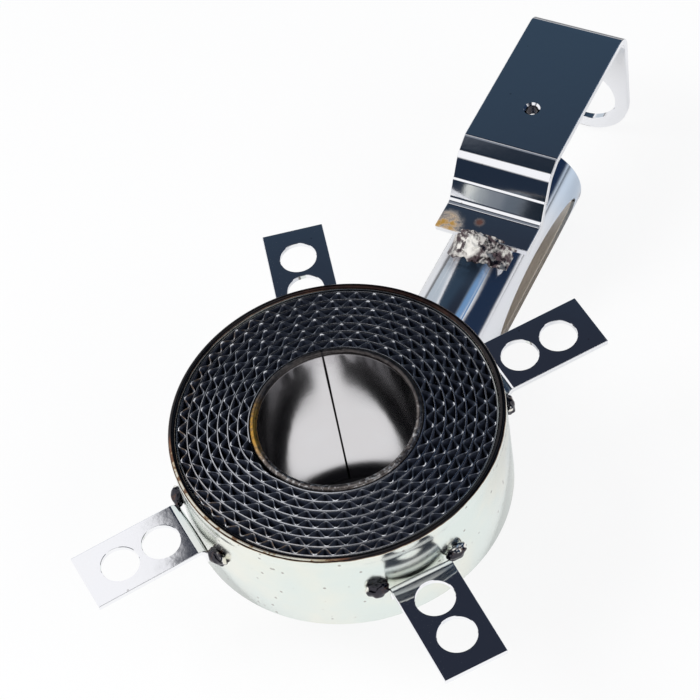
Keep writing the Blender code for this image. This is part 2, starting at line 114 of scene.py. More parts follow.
# Heat colours between bright metal and the black of the last one, by heat.
HEAT_STOPS = ((0.28, (0.60, 0.48, 0.36)), (0.48, (0.32, 0.21, 0.14)),
              (0.62, (0.22, 0.10, 0.07)), (0.78, (0.065, 0.050, 0.052)))
HEAT_BLACK = (0.030, 0.029, 0.034, 1.0)

# Surroundings that bright metal shows, painted in this order over white. Each has its areas
# (azimuths, heights, and softness left, right and up, in degrees), its share, and one colour or,
# for the tall panel, a low and a high one. An area that reaches past 180 degrees is behind.
SURROUNDINGS = {
    "blue window": ([((-27, -6), (42, 64), (5, 5, 4))], 0.85, [(0.05, 0.24, 0.52)]),
    "tall panel": ([((-9, 44.3), (2, 78), (5, 0.4, 5))], 1.0,
                   [(0.036, 0.062, 0.098), (0.022, 0.027, 0.043)]),
    "loft": ([((112, 135), (60, 76), (3, 3, 3))], 1.0, [(0.014, 0.022, 0.036)]),
    "roof": ([((52, 114), (62, 76), (4, 3, 3))], 1.0, [(0.20, 0.22, 0.26)]),
    "near side": ([((-160, -78), (36, 66), (8, 8, 6))], 1.0, [(0.018, 0.024, 0.040)]),
    "rear": ([((135, 205), (4, 36), (5, 5, 4))], 1.0, [(0.016, 0.026, 0.046)]),
    "flank": ([((-85, -34), (4, 66), (3, 3, 3)), ((-40, -6), (2, 40), (3, 3, 4))], 1.0,
              [(0.018, 0.034, 0.072)]),
    "haze": ([((47, 66), (-3, 38), (2, 4, 5))], 1.0, [(0.56, 0.62, 0.68)]),
}
PANEL_CHANGE = (math.radians(44.0), math.radians(54.0))
SKY = (0.98, 0.98, 1.0)

# Name, place, power and width of each lamp.
LAMPS = (("key", (-0.35, 0.55, 0.85), 6.0, 0.5), ("fill", (0.1, -0.8, 0.7), 4.0, 0.6))


class BurnerSizes(bpy.types.PropertyGroup):
    """Sizes that the frame's boxes don't give."""
    sheet: FloatProperty(
        name="Sheet", description="Thickness of the cup, bowl and air tube", default=0.0012, unit="LENGTH")
    hem_width: FloatProperty(
        name="Rim hem", description="Width of the folded rim", default=0.0023, unit="LENGTH")
    hem_height: FloatProperty(
        name="Hem height", description="Height of the folded rim", default=0.006, unit="LENGTH")
    lip_width: FloatProperty(
        name="Air tube lip", description="Width of the fused lip of the air tube", default=0.0024,
        unit="LENGTH")
    bowl_floor: FloatProperty(
        name="Bowl floor", description="Radius of the bowl's flat floor", default=0.033, unit="LENGTH")
    seam_angle: FloatProperty(
        name="Seam", description="Where the air tube's seam lies", default=math.radians(36.0),
        subtype="ANGLE")
    flat_gauge: FloatProperty(
        name="Flat strip", description="Thickness of the flat strip", default=0.0004, unit="LENGTH")
    wave_gauge: FloatProperty(
        name="Wave strip", description="Thickness of the corrugated strip", default=0.00036, unit="LENGTH")
    wave_pitch: FloatProperty(
        name="Wave", description="Length of one corrugation", default=0.006, unit="LENGTH")
    layers: IntProperty(name="Layers", description="Corrugated layers in the pack", default=7, min=2)
    step_turn: FloatProperty(
        name="Step", description="Share of a turn in which a strip steps out a layer", default=0.12)
    strip_start: FloatProperty(
        name="Strip start", description="Where the strips start", default=math.radians(130.0),
        subtype="ANGLE")
    feed_wall: FloatProperty(
        name="Mixing tube wall", description="Wall of the mixing tube", default=0.0015, unit="LENGTH")
    slot_length: FloatProperty(
        name="Air slot length", description="Length of the oval air slots", default=0.069, unit="LENGTH")
    slot_height: FloatProperty(
        name="Air slot height", description="Height of the oval air slots", default=0.0128, unit="LENGTH")
    slot_from_mouth: FloatProperty(
        name="Slot end", description="From the tube's mouth to the slot", default=0.006, unit="LENGTH")
    strap_gauge: FloatProperty(
        name="Bracket strap", description="Thickness of the bracket", default=0.0025, unit="LENGTH")
    jet_hole: FloatProperty(
        name="Jet hole", description="Radius of the hole in the tab", default=0.0127, unit="LENGTH")
    screw_hole: FloatProperty(
        name="Screw hole", description="Radius of the small hole", default=0.0021, unit="LENGTH")
    screw_x: FloatProperty(
        name="Screw hole place", description="Where the small hole lies", default=0.1555, unit="LENGTH")
    leg_gauge: FloatProperty(
        name="Leg strap", description="Thickness of the legs", default=0.0018, unit="LENGTH")
    leg_width: FloatProperty(
        name="Leg width", description="Width of the legs", default=0.0213, unit="LENGTH")
    leg_reach: FloatProperty(
        name="Leg reach", description="From the burner's axis to a leg's tip", default=0.0932, unit="LENGTH")
    leg_bend: FloatProperty(
        name="Leg bend", description="Inside radius of a leg's bend", default=0.002, unit="LENGTH")
    leg_hole: FloatProperty(
        name="Leg hole", description="Radius of the bolt holes", default=0.00625, unit="LENGTH")
    edge: FloatProperty(
        name="Edge", description="Rounding of cut edges", default=0.0003, unit="LENGTH")


class BurnerFinishes(bpy.types.PropertyGroup):
    """Colours of the finishes."""
    wall: FloatVectorProperty(
        name="Plated wall", description="Bright plating on the cup", default=(0.86, 0.87, 0.85),
        subtype="COLOR", min=0.0, max=1.0)
    strap: FloatVectorProperty(
        name="Plated strap", description="Bright plating on bracket and legs", default=(0.93, 0.93, 0.94),
        subtype="COLOR", min=0.0, max=1.0)
    tube: FloatVectorProperty(
        name="Bright tube", description="Drawn steel of the tubes", default=(0.78, 0.78, 0.80),
        subtype="COLOR", min=0.0, max=1.0)
    # The strip edge colour is also that of the painted highlights on rubbed crests.
    strip: FloatVectorProperty(
        name="Strip edge", description="Worn edges of the strips", default=(0.90, 0.91, 0.94),
        subtype="COLOR", min=0.0, max=1.0)
    strip_dull: FloatVectorProperty(
        name="Dull edge", description="Strip edges where nothing rubs them", default=(0.075, 0.083, 0.105),
        subtype="COLOR", min=0.0, max=1.0)
    strip_blue: FloatVectorProperty(
        name="Blued edge", description="Strip edges blued by heat", default=(0.130, 0.146, 0.185),
        subtype="COLOR", min=0.0, max=1.0)
    strip_depth: FloatVectorProperty(
        name="Strip depth", description="Strips below their edges", default=(0.046, 0.055, 0.084),
        subtype="COLOR", min=0.0, max=1.0)
    straw: FloatVectorProperty(
        name="Straw tint", description="Golden heat tint", default=(0.62, 0.34, 0.06),
        subtype="COLOR", min=0.0, max=1.0)
    weld: FloatVectorProperty(
        name="Weld", description="Weld metal", default=(0.90, 0.87, 0.81),
        subtype="COLOR", min=0.0, max=1.0)
    floor: FloatVectorProperty(
        name="Floor", description="Studio floor", default=(0.9, 0.9, 0.9),
        subtype="COLOR", min=0.0, max=1.0)


def sizes():
    """The sizes in use."""
    return bpy.context.scene.burner_sizes


def finishes():
    """The finishes in use."""
    return bpy.context.scene.burner_finishes


# Meshes

def dress(name, mesh, material, node, sharp=35.0, crisp=False):
    """Link a finished mesh, let it ride on the frame and stand for its node."""
    for polygon in mesh.polygons:
        polygon.use_smooth = True
    mesh.set_sharp_from_angle(angle=math.radians(sharp))
    mesh.materials.clear()
    mesh.materials.append(material)
    piece = bpy.data.objects.new(name, mesh)
    bpy.context.scene.collection.objects.link(piece)
    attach(piece, BODY)
    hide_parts(node)
    if crisp:
        flats = piece.modifiers.new("crisp_flats", "WEIGHTED_NORMAL")
        flats.weight = 100
        flats.keep_sharp = True


def clean(mesh, after_cut=False):
    """Join doubled points, then drop slivers after a cut or else turn the faces outwards."""
    bm = bmesh.new()
    bm.from_mesh(mesh)
    bmesh.ops.remove_doubles(bm, verts=bm.verts, dist=SAME_POINT)
    if after_cut:
        bmesh.ops.dissolve_degenerate(bm, edges=bm.edges, dist=SAME_POINT)
    else:
        bmesh.ops.recalc_face_normals(bm, faces=bm.faces)
    bm.to_mesh(mesh)
    bm.free()
    return mesh


def mesh_from(name, points, faces):
    """A mesh with its faces turned outwards."""
    mesh = bpy.data.meshes.new(name)
    mesh.from_pydata([tuple(p) for p in points], [], faces)
    return clean(mesh)


def skin(rows, count, closed):
    """Faces between neighbouring rows of points, each row a closed ring."""
    faces = []
    for k in range(rows if closed else rows - 1):
        after = (k + 1) % rows
        for j in range(count):
            beside = (j + 1) % count
            faces.append((k * count + j, k * count + beside, after * count + beside, after * count + j))
    return faces


def spun(name, profile, angles, shape=None):
    """Turn a closed profile of (radius, height) about Z; shape may move each point."""
    points = []
    for angle in angles:
        for index, (radius, height) in enumerate(profile):
            if shape:
                radius, height = shape(index, angle, radius, height)
            points.append((radius * math.cos(angle), radius * math.sin(angle), height))
    return mesh_from(name, points, skin(len(angles), len(profile), closed=True))


def lofted(name, rings, closed=False):
    """Join rings of equal count into one skin, capped unless it closes on itself."""
    count = len(rings[0])
    points = [p for ring in rings for p in ring]
    faces = skin(len(rings), count, closed)
    if not closed:
        faces.append(tuple(range(count)))
        faces.append(tuple(range(len(points) - count, len(points))))
    return mesh_from(name, points, faces)


def full_turn(steps):
    """Even angles round a full turn."""
    return [TURN * i / steps for i in range(steps)]


def arc_points(centre, radius, start, end, steps):
    """Points on an arc, angles in degrees."""
    angles = [math.radians(start + (end - start) * i / steps) for i in range(steps + 1)]
    return [(centre[0] + radius * math.cos(a), centre[1] + radius * math.sin(a)) for a in angles]


def level_ring(x, radius, z, steps):
    """A level ring of points round (x, 0)."""
    return [(x + radius * math.cos(a), radius * math.sin(a), z) for a in full_turn(steps)]


def off_seam(angle, seam):
    """Angle between a direction and the seam."""
    return abs((angle - seam + math.pi) % TURN - math.pi)


def bowl_slope():
    """Top radius of the bowl, and how fast its side comes in with depth."""
    top = HEAD_RADIUS - sizes().sheet - GAP
    return top, (top - sizes().bowl_floor) / (CUP_LOW.z - BOWL_LOW.z)


def carved(mesh, cutters, added=()):
    """The mesh with other meshes joined to it and then others cut away from it."""
    body = bpy.data.objects.new(mesh.name + "_blank", mesh)
    bpy.context.scene.collection.objects.link(body)
    tools = []
    jobs = [(item, "UNION") for item in added] + [(item, "DIFFERENCE") for item in cutters]
    for cutter, operation in jobs:
        tool = bpy.data.objects.new(cutter.name + "_tool", cutter)
        bpy.context.scene.collection.objects.link(tool)
        modifier = body.modifiers.new("cut", "BOOLEAN")
        modifier.operation = operation
        modifier.solver = "EXACT"
        modifier.object = tool
        tools.append(tool)
    graph = bpy.context.evaluated_depsgraph_get()
    result = bpy.data.meshes.new_from_object(body.evaluated_get(graph))
    result.name = mesh.name
    for tool in tools + [body]:
        bpy.data.objects.remove(tool, do_unlink=True)
    return clean(result, after_cut=True)


def spool(name, radius, depth, edge, place):
    """A hole cutter that breaks both edges of the hole, placed by a matrix."""
    past = edge * 2.0
    profile = [(radius + edge + past, depth / 2 + past), (radius, depth / 2 - edge),
               (radius, edge - depth / 2), (radius + edge + past, -depth / 2 - past)]
    steps = 128
    points = [(r * math.cos(a), r * math.sin(a), z) for a in full_turn(steps) for r, z in profile]
    faces = []
    for i in range(steps):
        after = (i + 1) % steps
        for j in range(3):
            faces.append((i * 4 + j, i * 4 + j + 1, after * 4 + j + 1, after * 4 + j))
    faces.append(tuple(i * 4 for i in range(steps)))
    faces.append(tuple(i * 4 + 3 for i in reversed(range(steps))))
    mesh = mesh_from(name, points, faces)
    mesh.transform(place)
    return mesh


def filleted(corners, radii):
    """Middle line of a bent strap: (point, heading) pairs with an arc at each inner corner."""
    line = [(corners[0], (corners[1] - corners[0]).normalized())]
    for before, corner, after, radius in zip(corners, corners[1:], corners[2:], radii):
        heading = (corner - before).normalized()
        leaving = (after - corner).normalized()
        turn = math.atan2(heading.x * leaving.y - heading.y * leaving.x, heading.dot(leaving))
        start = corner - heading * radius * math.tan(abs(turn) / 2)
        centre = start + Vector((-heading.y, heading.x)) * math.copysign(radius, turn)
        for i in range(BEND_STEPS + 1):
            swing = Matrix.Rotation(turn * i / BEND_STEPS, 2)
            line.append((centre + swing @ (start - centre), swing @ heading))
    line.append((corners[-1], (corners[-1] - corners[-2]).normalized()))
    return line


def strap_ring(point, heading, half_width, half_gauge, edge):
    """Rounded section of a strap, square to its heading, in (x, y, z)."""
    normal = Vector((-heading.y, heading.x))
    ring = []
    for side, face, start in ((1, 1, 0), (-1, 1, 90), (-1, -1, 180), (1, -1, 270)):
        for step in range(4):
            angle = math.radians(start + 30 * step)
            across = side * (half_width - edge) + edge * math.cos(angle)
            spot = point + normal * (face * (half_gauge - edge) + edge * math.sin(angle))
            ring.append((spot.x, across, spot.y))
    return ring


def strap_mesh(name, line, widths, half_gauge, edge):
    """A strap with rounded edges and ends along a middle line."""
    def end_rings(point, heading, inward, width):
        """Two smaller rings that round an end, outermost first."""
        return [strap_ring(point + inward * edge * inset, heading, width - edge * less,
                           half_gauge - edge * less, edge * corner)
                for inset, less, corner in ((0.0, 1.0, 0.1), (0.3, 0.3, 0.7))]

    (first, setting_off), (last, arriving) = line[0], line[-1]
    middle = [(first + setting_off * edge, setting_off)] + line[1:-1] + [(last - arriving * edge, arriving)]
    rings = end_rings(first, setting_off, setting_off, widths[0])
    for (point, heading), width in zip(middle, widths):
        rings.append(strap_ring(point, heading, width, half_gauge, edge))
    rings += reversed(end_rings(last, arriving, -arriving, widths[-1]))
    return lofted(name, rings)


def lumpy(name, axes, place, seed, rough, fine):
    """A weld blob: an ellipsoid pushed about by noise."""
    around, up = 40, 26
    points = []
    for i in range(up + 1):
        polar = math.pi * i / up
        out = math.sin(polar)
        for turn in full_turn(around):
            spot = Vector((out * math.cos(turn), out * math.sin(turn), math.cos(polar)))
            shove = 1.0 + rough * noise.noise(spot * 1.7 + Vector((seed, 0.3, 0.9)))
            shove += fine * noise.noise(spot * 5.3 + Vector((seed * 2.0, 1.7, 0.2)))
            shove += fine * 0.6 * abs(noise.noise(spot * 11.0 + Vector((0.4, seed, 2.1))))
            points.append(place @ (spot * Vector(axes) * shove))
    return mesh_from(name, points, skin(up + 1, around, closed=False))


# Shading

class Nodes:
    """Adds nodes to one shader tree; place is the vector that its textures use."""

    def __init__(self, tree, place=None):
        self.tree = tree
        self.place = place

    def add(self, kind, **values):
        """Add a node and set its properties."""
        item = self.tree.nodes.new("ShaderNode" + kind)
        for key, value in values.items():
            setattr(item, key, value)
        return item

    def feed(self, socket, value):
        """Link an output to a socket, or set the socket's value."""
        if isinstance(value, bpy.types.NodeSocket):
            self.tree.links.new(value, socket)
        elif socket.type == "RGBA":
            socket.default_value = (*value, 1.0)
        else:
            socket.default_value = value

    def maths(self, operation, first, second=0.0, clamp=False):
        """One Math node."""
        item = self.add("Math", operation=operation, use_clamp=clamp)
        self.feed(item.inputs[0], first)
        self.feed(item.inputs[1], second)
        return item.outputs[0]

    def times(self, first, *others, clamp=False):
        """Product of values."""
        for other in others:
            first = self.maths("MULTIPLY", first, other, clamp)
        return first

    def plus(self, first, second):
        """Sum of two values."""
        return self.maths("ADD", first, second)

    def rest_of(self, value):
        """What a share leaves over."""
        return self.maths("SUBTRACT", 1.0, value)

    def highest(self, first, *others):
        """Highest of several values."""
        for other in others:
            first = self.maths("MAXIMUM", first, other)
        return first

    def ramp(self, value, low, high, out_low=0.0, out_high=1.0):
        """A smooth change between two values."""
        item = self.add("MapRange", interpolation_type="SMOOTHSTEP")
        for label, part in (("Value", value), ("From Min", low), ("From Max", high),
                            ("To Min", out_low), ("To Max", out_high)):
            self.feed(item.inputs[label], part)
        return item.outputs["Result"]

    def blend(self, share, first, second, mode="MIX"):
        """Mix two colours, which are inputs 6 and 7 and output 2 of a Mix node."""
        item = self.add("Mix", data_type="RGBA", blend_type=mode)
        self.feed(item.inputs[0], share)
        self.feed(item.inputs[6], first)
        self.feed(item.inputs[7], second)
        return item.outputs[2]

    def noise(self, scale, detail=3.0, vector=None):
        """Noise between 0 and 1."""
        item = self.add("TexNoise")
        self.feed(item.inputs["Vector"], self.place if vector is None else vector)
        item.inputs["Scale"].default_value = scale
        item.inputs["Detail"].default_value = detail
        item.inputs["Roughness"].default_value = NOISE_ROUGHNESS
        return item.outputs["Fac"]

    def with_vector(self, operation, vector, other):
        """One Vector Math node that sets a vector against a fixed one."""
        item = self.add("VectorMath", operation=operation)
        self.feed(item.inputs[0], vector)
        item.inputs[1].default_value = other
        return item.outputs

    def toward(self, x, y):
        """How far a place lies along a level direction."""
        return self.with_vector("DOT_PRODUCT", self.place, (x, y, 0.0))["Value"]

    def away(self, mask, centre=(0.0, 0.0, 0.0)):
        """Distance from a point, or from an axis that the mask leaves out."""
        kept = self.with_vector("MULTIPLY", self.place, mask)["Vector"]
        return self.with_vector("DISTANCE", kept, centre)["Value"]

    def near(self, centre, radius):
        """1 near a point, falling to 0 at a radius."""
        return self.ramp(self.away(ALL_WAYS, centre), radius, radius * 0.25)

    def group(self, tree, **values):
        """Use a shader group at this place and feed its inputs."""
        item = self.add("Group", node_tree=tree)
        self.feed(item.inputs["Vector"], self.place)
        for key, value in values.items():
            self.feed(item.inputs[key], value)
        return item.outputs


class Metal(Nodes):
    """A new metal material, its nodes and its colour; x and up are parts of its place."""

    def __init__(self, name):
        self.material = bpy.data.materials.new(name)
        self.material.use_nodes = True
        super().__init__(self.material.node_tree)
        self.place = self.add("TexCoord").outputs["Object"]
        parts = self.add("SeparateXYZ")
        self.feed(parts.inputs[0], self.place)
        self.x = parts.outputs["X"]
        self.up = parts.outputs["Z"]
        self.colour = None

    def cloud(self, share, tint, base):
        """Start the colour: a base, tinted where the share is low."""
        self.colour = self.blend(share, [part * shift for part, shift in zip(base, tint)], base)

    def paint(self, share, shade):
        """Cover a share of the colour."""
        self.colour = self.blend(share, self.colour, shade)

    def finish(self, roughness, height, strength, metallic=1.0, depth=0.0003):
        """Feed the shader, with a bump from a height, and give the material."""
        bump = self.add("Bump")
        bump.inputs["Strength"].default_value = strength
        bump.inputs["Distance"].default_value = depth
        self.feed(bump.inputs["Height"], height)
        shader = self.tree.nodes["Principled BSDF"].inputs
        self.feed(shader["Base Color"], self.colour)
        self.feed(shader["Roughness"], roughness)
        self.feed(shader["Metallic"], metallic)
        self.feed(shader["Normal"], bump.outputs["Normal"])
        return self.material


def new_group(name, values, outputs):
    """An empty shader group with a Vector input, number inputs and number outputs."""
    tree = bpy.data.node_groups.new(name, "ShaderNodeTree")
    tree.interface.new_socket("Vector", in_out="INPUT", socket_type="NodeSocketVector")
    for label, default in values.items():
        socket = tree.interface.new_socket(label, in_out="INPUT", socket_type="NodeSocketFloat")
        socket.default_value = default
    for label in outputs:
        tree.interface.new_socket(label, in_out="OUTPUT", socket_type="NodeSocketFloat")
    entry = tree.nodes.new("NodeGroupInput").outputs
    leave = tree.nodes.new("NodeGroupOutput").inputs
    return Nodes(tree, entry["Vector"]), entry, leave


def plating_group():
    """Fine drawing lines, smears and dents in bright plating."""
    name = "plating_wear"
    if name in bpy.data.node_groups:
        return bpy.data.node_groups[name]
    nodes, entry, leave = new_group(name, {"Polish": 0.1, "Smear": 0.08}, ("Roughness", "Height", "Cloud"))
    cloud = nodes.noise(60.0, 4.0)
    streak = nodes.with_vector("MULTIPLY", nodes.place, (900.0, 900.0, 60.0))["Vector"]
    lines = nodes.noise(1.0, 2.0, streak)
    dents = nodes.noise(220.0, 2.0)
    nodes.feed(leave["Roughness"], nodes.plus(entry["Polish"], nodes.times(cloud, entry["Smear"])))
    nodes.feed(leave["Height"], nodes.plus(nodes.times(lines, 0.25), dents))
    nodes.feed(leave["Cloud"], cloud)
    return nodes.tree


def speck_group():
    """Scattered dark specks."""
    name = "dark_specks"
    if name in bpy.data.node_groups:
        return bpy.data.node_groups[name]
    nodes, entry, leave = new_group(name, {"Scale": 300.0, "Amount": 0.1}, ("Mask",))
    cells = nodes.add("TexVoronoi")
    nodes.feed(cells.inputs["Vector"], nodes.place)
    nodes.feed(cells.inputs["Scale"], entry["Scale"])
    channels = nodes.add("SeparateColor")
    nodes.feed(channels.inputs["Color"], cells.outputs["Color"])
    chosen = nodes.maths("LESS_THAN", channels.outputs["Red"], entry["Amount"])
    dot = nodes.ramp(cells.outputs["Distance"], 0.22, 0.10)
    nodes.feed(leave["Mask"], nodes.times(chosen, dot))
    return nodes.tree


def burn_rim(metal):
    """Paint a dark reflection on the cup's wall towards the tube, burn its rim and give the heat."""
    streaks = metal.noise(420.0, 4.0)
    level = metal.plus(metal.up, metal.times(metal.noise(180.0), 0.0006))
    heat = metal.ramp(level, RIM_Z - 0.0006, RIM_Z - 0.0001)
    heat = metal.times(heat, metal.plus(0.80, metal.times(streaks, 0.30)), clamp=True)
    # Painted reflection: a dark patch on the upper wall towards the tube.
    tubeward = metal.plus(metal.toward(0.985, 0.17), metal.times(streaks, 0.006))
    painted_reflection = metal.ramp(tubeward, 0.036, 0.055)
    heat = metal.times(heat, metal.ramp(painted_reflection, 0.0, 1.0, 1.0, 0.74))
    painted_reflection = metal.times(painted_reflection, metal.ramp(metal.up, -0.014, 0.002, 0.0, 0.85))
    metal.paint(painted_reflection, (0.10, 0.115, 0.155))
    # A line on the rim's left, as the photograph's camera sees it, kept free of heat tint: partly rubbed
    # metal and partly a painted highlight.
    off_line = metal.maths("ABSOLUTE", metal.maths("SUBTRACT", metal.away(LEVEL), HEAD_RADIUS - 0.0007))
    leftward = metal.ramp(metal.toward(-0.966, 0.26), 0.032, 0.047)
    rubbed = metal.times(metal.ramp(off_line, 0.0005, 0.0002), leftward,
                         metal.ramp(streaks, 0.35, 0.50, 0.4, 0.85))
    heat = metal.times(heat, metal.rest_of(rubbed))
    tint = metal.add("ValToRGB")
    stops = tint.color_ramp.elements
    stops[0].position = 0.05
    stops[0].color = (1.0, 1.0, 1.0, 1.0)
    stops[1].color = HEAT_BLACK
    for position, shade in HEAT_STOPS:
        stops.new(position).color = (*shade, 1.0)
    metal.feed(tint.inputs["Fac"], heat)
    metal.colour = metal.blend(1.0, metal.colour, tint.outputs["Color"], "MULTIPLY")
    return heat


def wall_finish(name, burnt_rim_and_reflection):
    """Bright plated sheet with specks, and where asked a burnt rim with a painted dark reflection towards
    the tube.
    """
    metal = Metal(name)
    wear = metal.group(plating_group(), Polish=0.13, Smear=0.12)
    specks = metal.group(speck_group(), Scale=330.0, Amount=0.30)["Mask"]
    red, green, blue = finishes().wall
    film = metal.ramp(metal.noise(34.0, 4.0), 0.35, 0.65)
    metal.colour = metal.blend(film, (red * 0.90, green * 0.97, blue * 0.95), (red, green, blue * 0.93))
    metal.paint(metal.times(specks, 0.8), (0.36, 0.34, 0.31))
    roughness = wear["Roughness"]
    if burnt_rim_and_reflection:
        roughness = metal.plus(roughness, metal.times(burn_rim(metal), 0.04))
    return metal.finish(roughness, wear["Height"], strength=0.05)


def air_tube_finish():
    """Drawn tube with a dark seam, painted shade in its upper bore to both sides of the seam, and a fused
    lip tinted by heat.
    """
    metal = Metal("air_tube_steel")
    wear = metal.group(plating_group(), Polish=0.10, Smear=0.10)
    metal.cloud(wear["Cloud"], (0.92, 0.89, 0.88), finishes().tube)
    grain = metal.noise(900.0)
    along = metal.toward(0.81, 0.59)
    # The lip: scale with bare spots on its near crest, darker at the far side, gold at one place.
    lip = metal.ramp(metal.up, RIM_Z - 0.0019, RIM_Z - 0.0011)
    crest = metal.ramp(metal.up, RIM_Z - 0.0011, RIM_Z - 0.0007)
    front = metal.ramp(along, 0.006, -0.012, 0.25, 1.0)
    cloudy = metal.ramp(metal.noise(330.0), 0.35, 0.65)
    scale = metal.blend(cloudy, (0.085, 0.070, 0.066), (0.24, 0.215, 0.20))
    spots = metal.times(metal.ramp(grain, 0.50, 0.62), front, crest, 0.7)
    scale = metal.blend(spots, scale, (0.72, 0.71, 0.70))
    scale = metal.blend(front, (0.050, 0.045, 0.046), scale)
    metal.paint(lip, scale)
    angle = math.radians(122.0)
    gold_place = (AIR_HIGH.x * math.cos(angle), AIR_HIGH.x * math.sin(angle), RIM_Z)
    gold = metal.times(metal.near(gold_place, 0.015), lip, metal.ramp(grain, 0.30, 0.55, 0.35, 1.0), 0.9)
    metal.paint(gold, finishes().straw)
    # The seam, and painted shade on the upper bore to both sides of it.
    seam = sizes().seam_angle
    aside = metal.maths("ABSOLUTE", metal.toward(-math.sin(seam), math.cos(seam)))
    line = metal.times(metal.ramp(aside, 0.00042, 0.00026), metal.ramp(along, 0.0, 0.004), 0.9)
    metal.paint(line, (0.035, 0.033, 0.036))
    # Painted shade: the upper bore darkens away from the seam.
    painted_bore_shade = metal.times(metal.ramp(metal.up, RIM_Z - 0.034, RIM_Z - 0.004), metal.ramp(aside, 0.001, 0.014),
                       metal.rest_of(lip), 0.88)
    metal.paint(painted_bore_shade, (0.050, 0.048, 0.056))
    roughness = metal.plus(wear["Roughness"], metal.times(lip, 0.16))
    return metal.finish(roughness, wear["Height"], strength=0.06)


def strip_finish():
    """Thin strip: dull cut edges with rubbed spots that also carry painted highlights, straw tint by the
    rim, darker below the top edge.
    """
    metal = Metal("strip_steel")
    level = metal.plus(metal.up, metal.times(metal.noise(500.0), 0.0004))
    edge = metal.ramp(level, STRIP_HIGH.z - 0.0008, STRIP_HIGH.z - 0.0001)
    wear = metal.noise(900.0)
    dull = metal.blend(wear, finishes().strip_dull, finishes().strip_blue)
    by_rim = metal.ramp(metal.away(LEVEL), HEAD_RADIUS - 0.010, HEAD_RADIUS - 0.004)
    on_left = metal.ramp(metal.toward(-1.0, 1.0), -0.020, 0.045)
    tint = metal.times(by_rim, on_left, metal.ramp(wear, 0.35, 0.6), 0.25)
    dull = metal.blend(tint, dull, finishes().straw)
    # Rubbed spots, partly painted highlights: the crests turn bright and less metallic.
    rubbed = metal.add("Attribute", attribute_name="rubbed").outputs["Fac"]
    shine = metal.times(rubbed, metal.plus(0.4, wear), clamp=True)
    top = metal.blend(shine, dull, finishes().strip)
    # Darker and less metallic below the top edge.
    metal.colour = metal.blend(edge, finishes().strip_depth, top)
    roughness = metal.ramp(shine, 0.0, 0.5, 0.40, 0.24)
    metallic = metal.times(metal.ramp(shine, 0.58, 0.85, 1.0, 0.15), metal.ramp(edge, 0.0, 1.0, 0.15, 1.0))
    return metal.finish(roughness, wear, strength=0.08, metallic=metallic, depth=0.0002)


def feed_tube_finish():
    """Bright drawn tube, dull and pale inside, with a painted blue reflection towards its mouth, singed by
    the weld.
    """
    metal = Metal("mixing_tube_steel")
    wear = metal.group(plating_group(), Polish=0.07, Smear=0.06)
    metal.cloud(wear["Cloud"], (0.95, 0.98, 1.0), finishes().tube)
    # Painted reflection: a blue tint towards the tube's mouth.
    painted_blue_reflection = metal.times(metal.ramp(metal.x, 0.122, 0.150), 0.35)
    metal.paint(painted_blue_reflection, (0.22, 0.48, 0.78))
    from_axis = metal.away(ROUND_FEED, (0.0, 0.0, FEED_Z))
    inside = metal.ramp(from_axis, FEED_RADIUS - 0.0009, FEED_RADIUS - 0.0013)
    metal.paint(metal.times(inside, 0.9), (0.66, 0.59, 0.50))
    by_weld = metal.near((STRAP_LOW.x - 0.003, 0.0, FEED_HIGH.z), 0.016)
    singe = metal.times(by_weld, metal.ramp(metal.noise(260.0), 0.32, 0.60, 0.35, 0.92))
    metal.paint(singe, (0.105, 0.075, 0.082))
    roughness = metal.plus(wear["Roughness"], metal.times(inside, 0.3))
    metallic = metal.ramp(inside, 0.0, 1.0, 1.0, 0.2)
    return metal.finish(roughness, wear["Height"], strength=0.04, metallic=metallic)


def strap_finish(name, tinted):
    """Bright plated strap; the bracket's has heat tints by its weld and a dark screw thread."""
    metal = Metal(name)
    wear = metal.group(plating_group(), Polish=0.04, Smear=0.03)
    specks = metal.group(speck_group(), Scale=420.0, Amount=0.03)["Mask"]
    metal.cloud(wear["Cloud"], (0.97, 0.98, 1.0), finishes().strap)
    metal.paint(metal.times(specks, 0.5), (0.35, 0.33, 0.32))
    roughness = wear["Roughness"]
    metallic = 1.0
    if tinted:
        low_top = FEED_HIGH.z + GAP + sizes().strap_gauge
        face = metal.ramp(metal.up, low_top - 0.0007, low_top - 0.0002)
        corner = metal.near((STRAP_LOW.x + 0.002, 0.0145, low_top), 0.0085)
        ragged = metal.ramp(metal.noise(380.0, 4.0), 0.36, 0.60, 0.45, 1.0)
        tint = metal.times(corner, ragged, face)
        spot = metal.times(metal.near((STRAP_LOW.x + 0.0065, 0.0033, low_top), 0.0028), face, 0.45)
        metal.paint(tint, [0.78 * part for part in finishes().straw])
        metal.paint(metal.times(spot, 2.2, clamp=True), (0.30, 0.14, 0.11))
        roughness = metal.plus(roughness, metal.times(tint, 0.35))
        metallic = metal.ramp(metal.highest(tint, spot), 0.0, 1.0, 1.0, 0.2)
        hole = sizes().screw_hole
        thread = metal.ramp(metal.away(LEVEL, (sizes().screw_x, 0.0, 0.0)), hole + 0.0003, hole + 0.0001)
        metal.paint(thread, (0.060, 0.055, 0.060))
    return metal.finish(roughness, wear["Height"], strength=0.02, metallic=metallic)


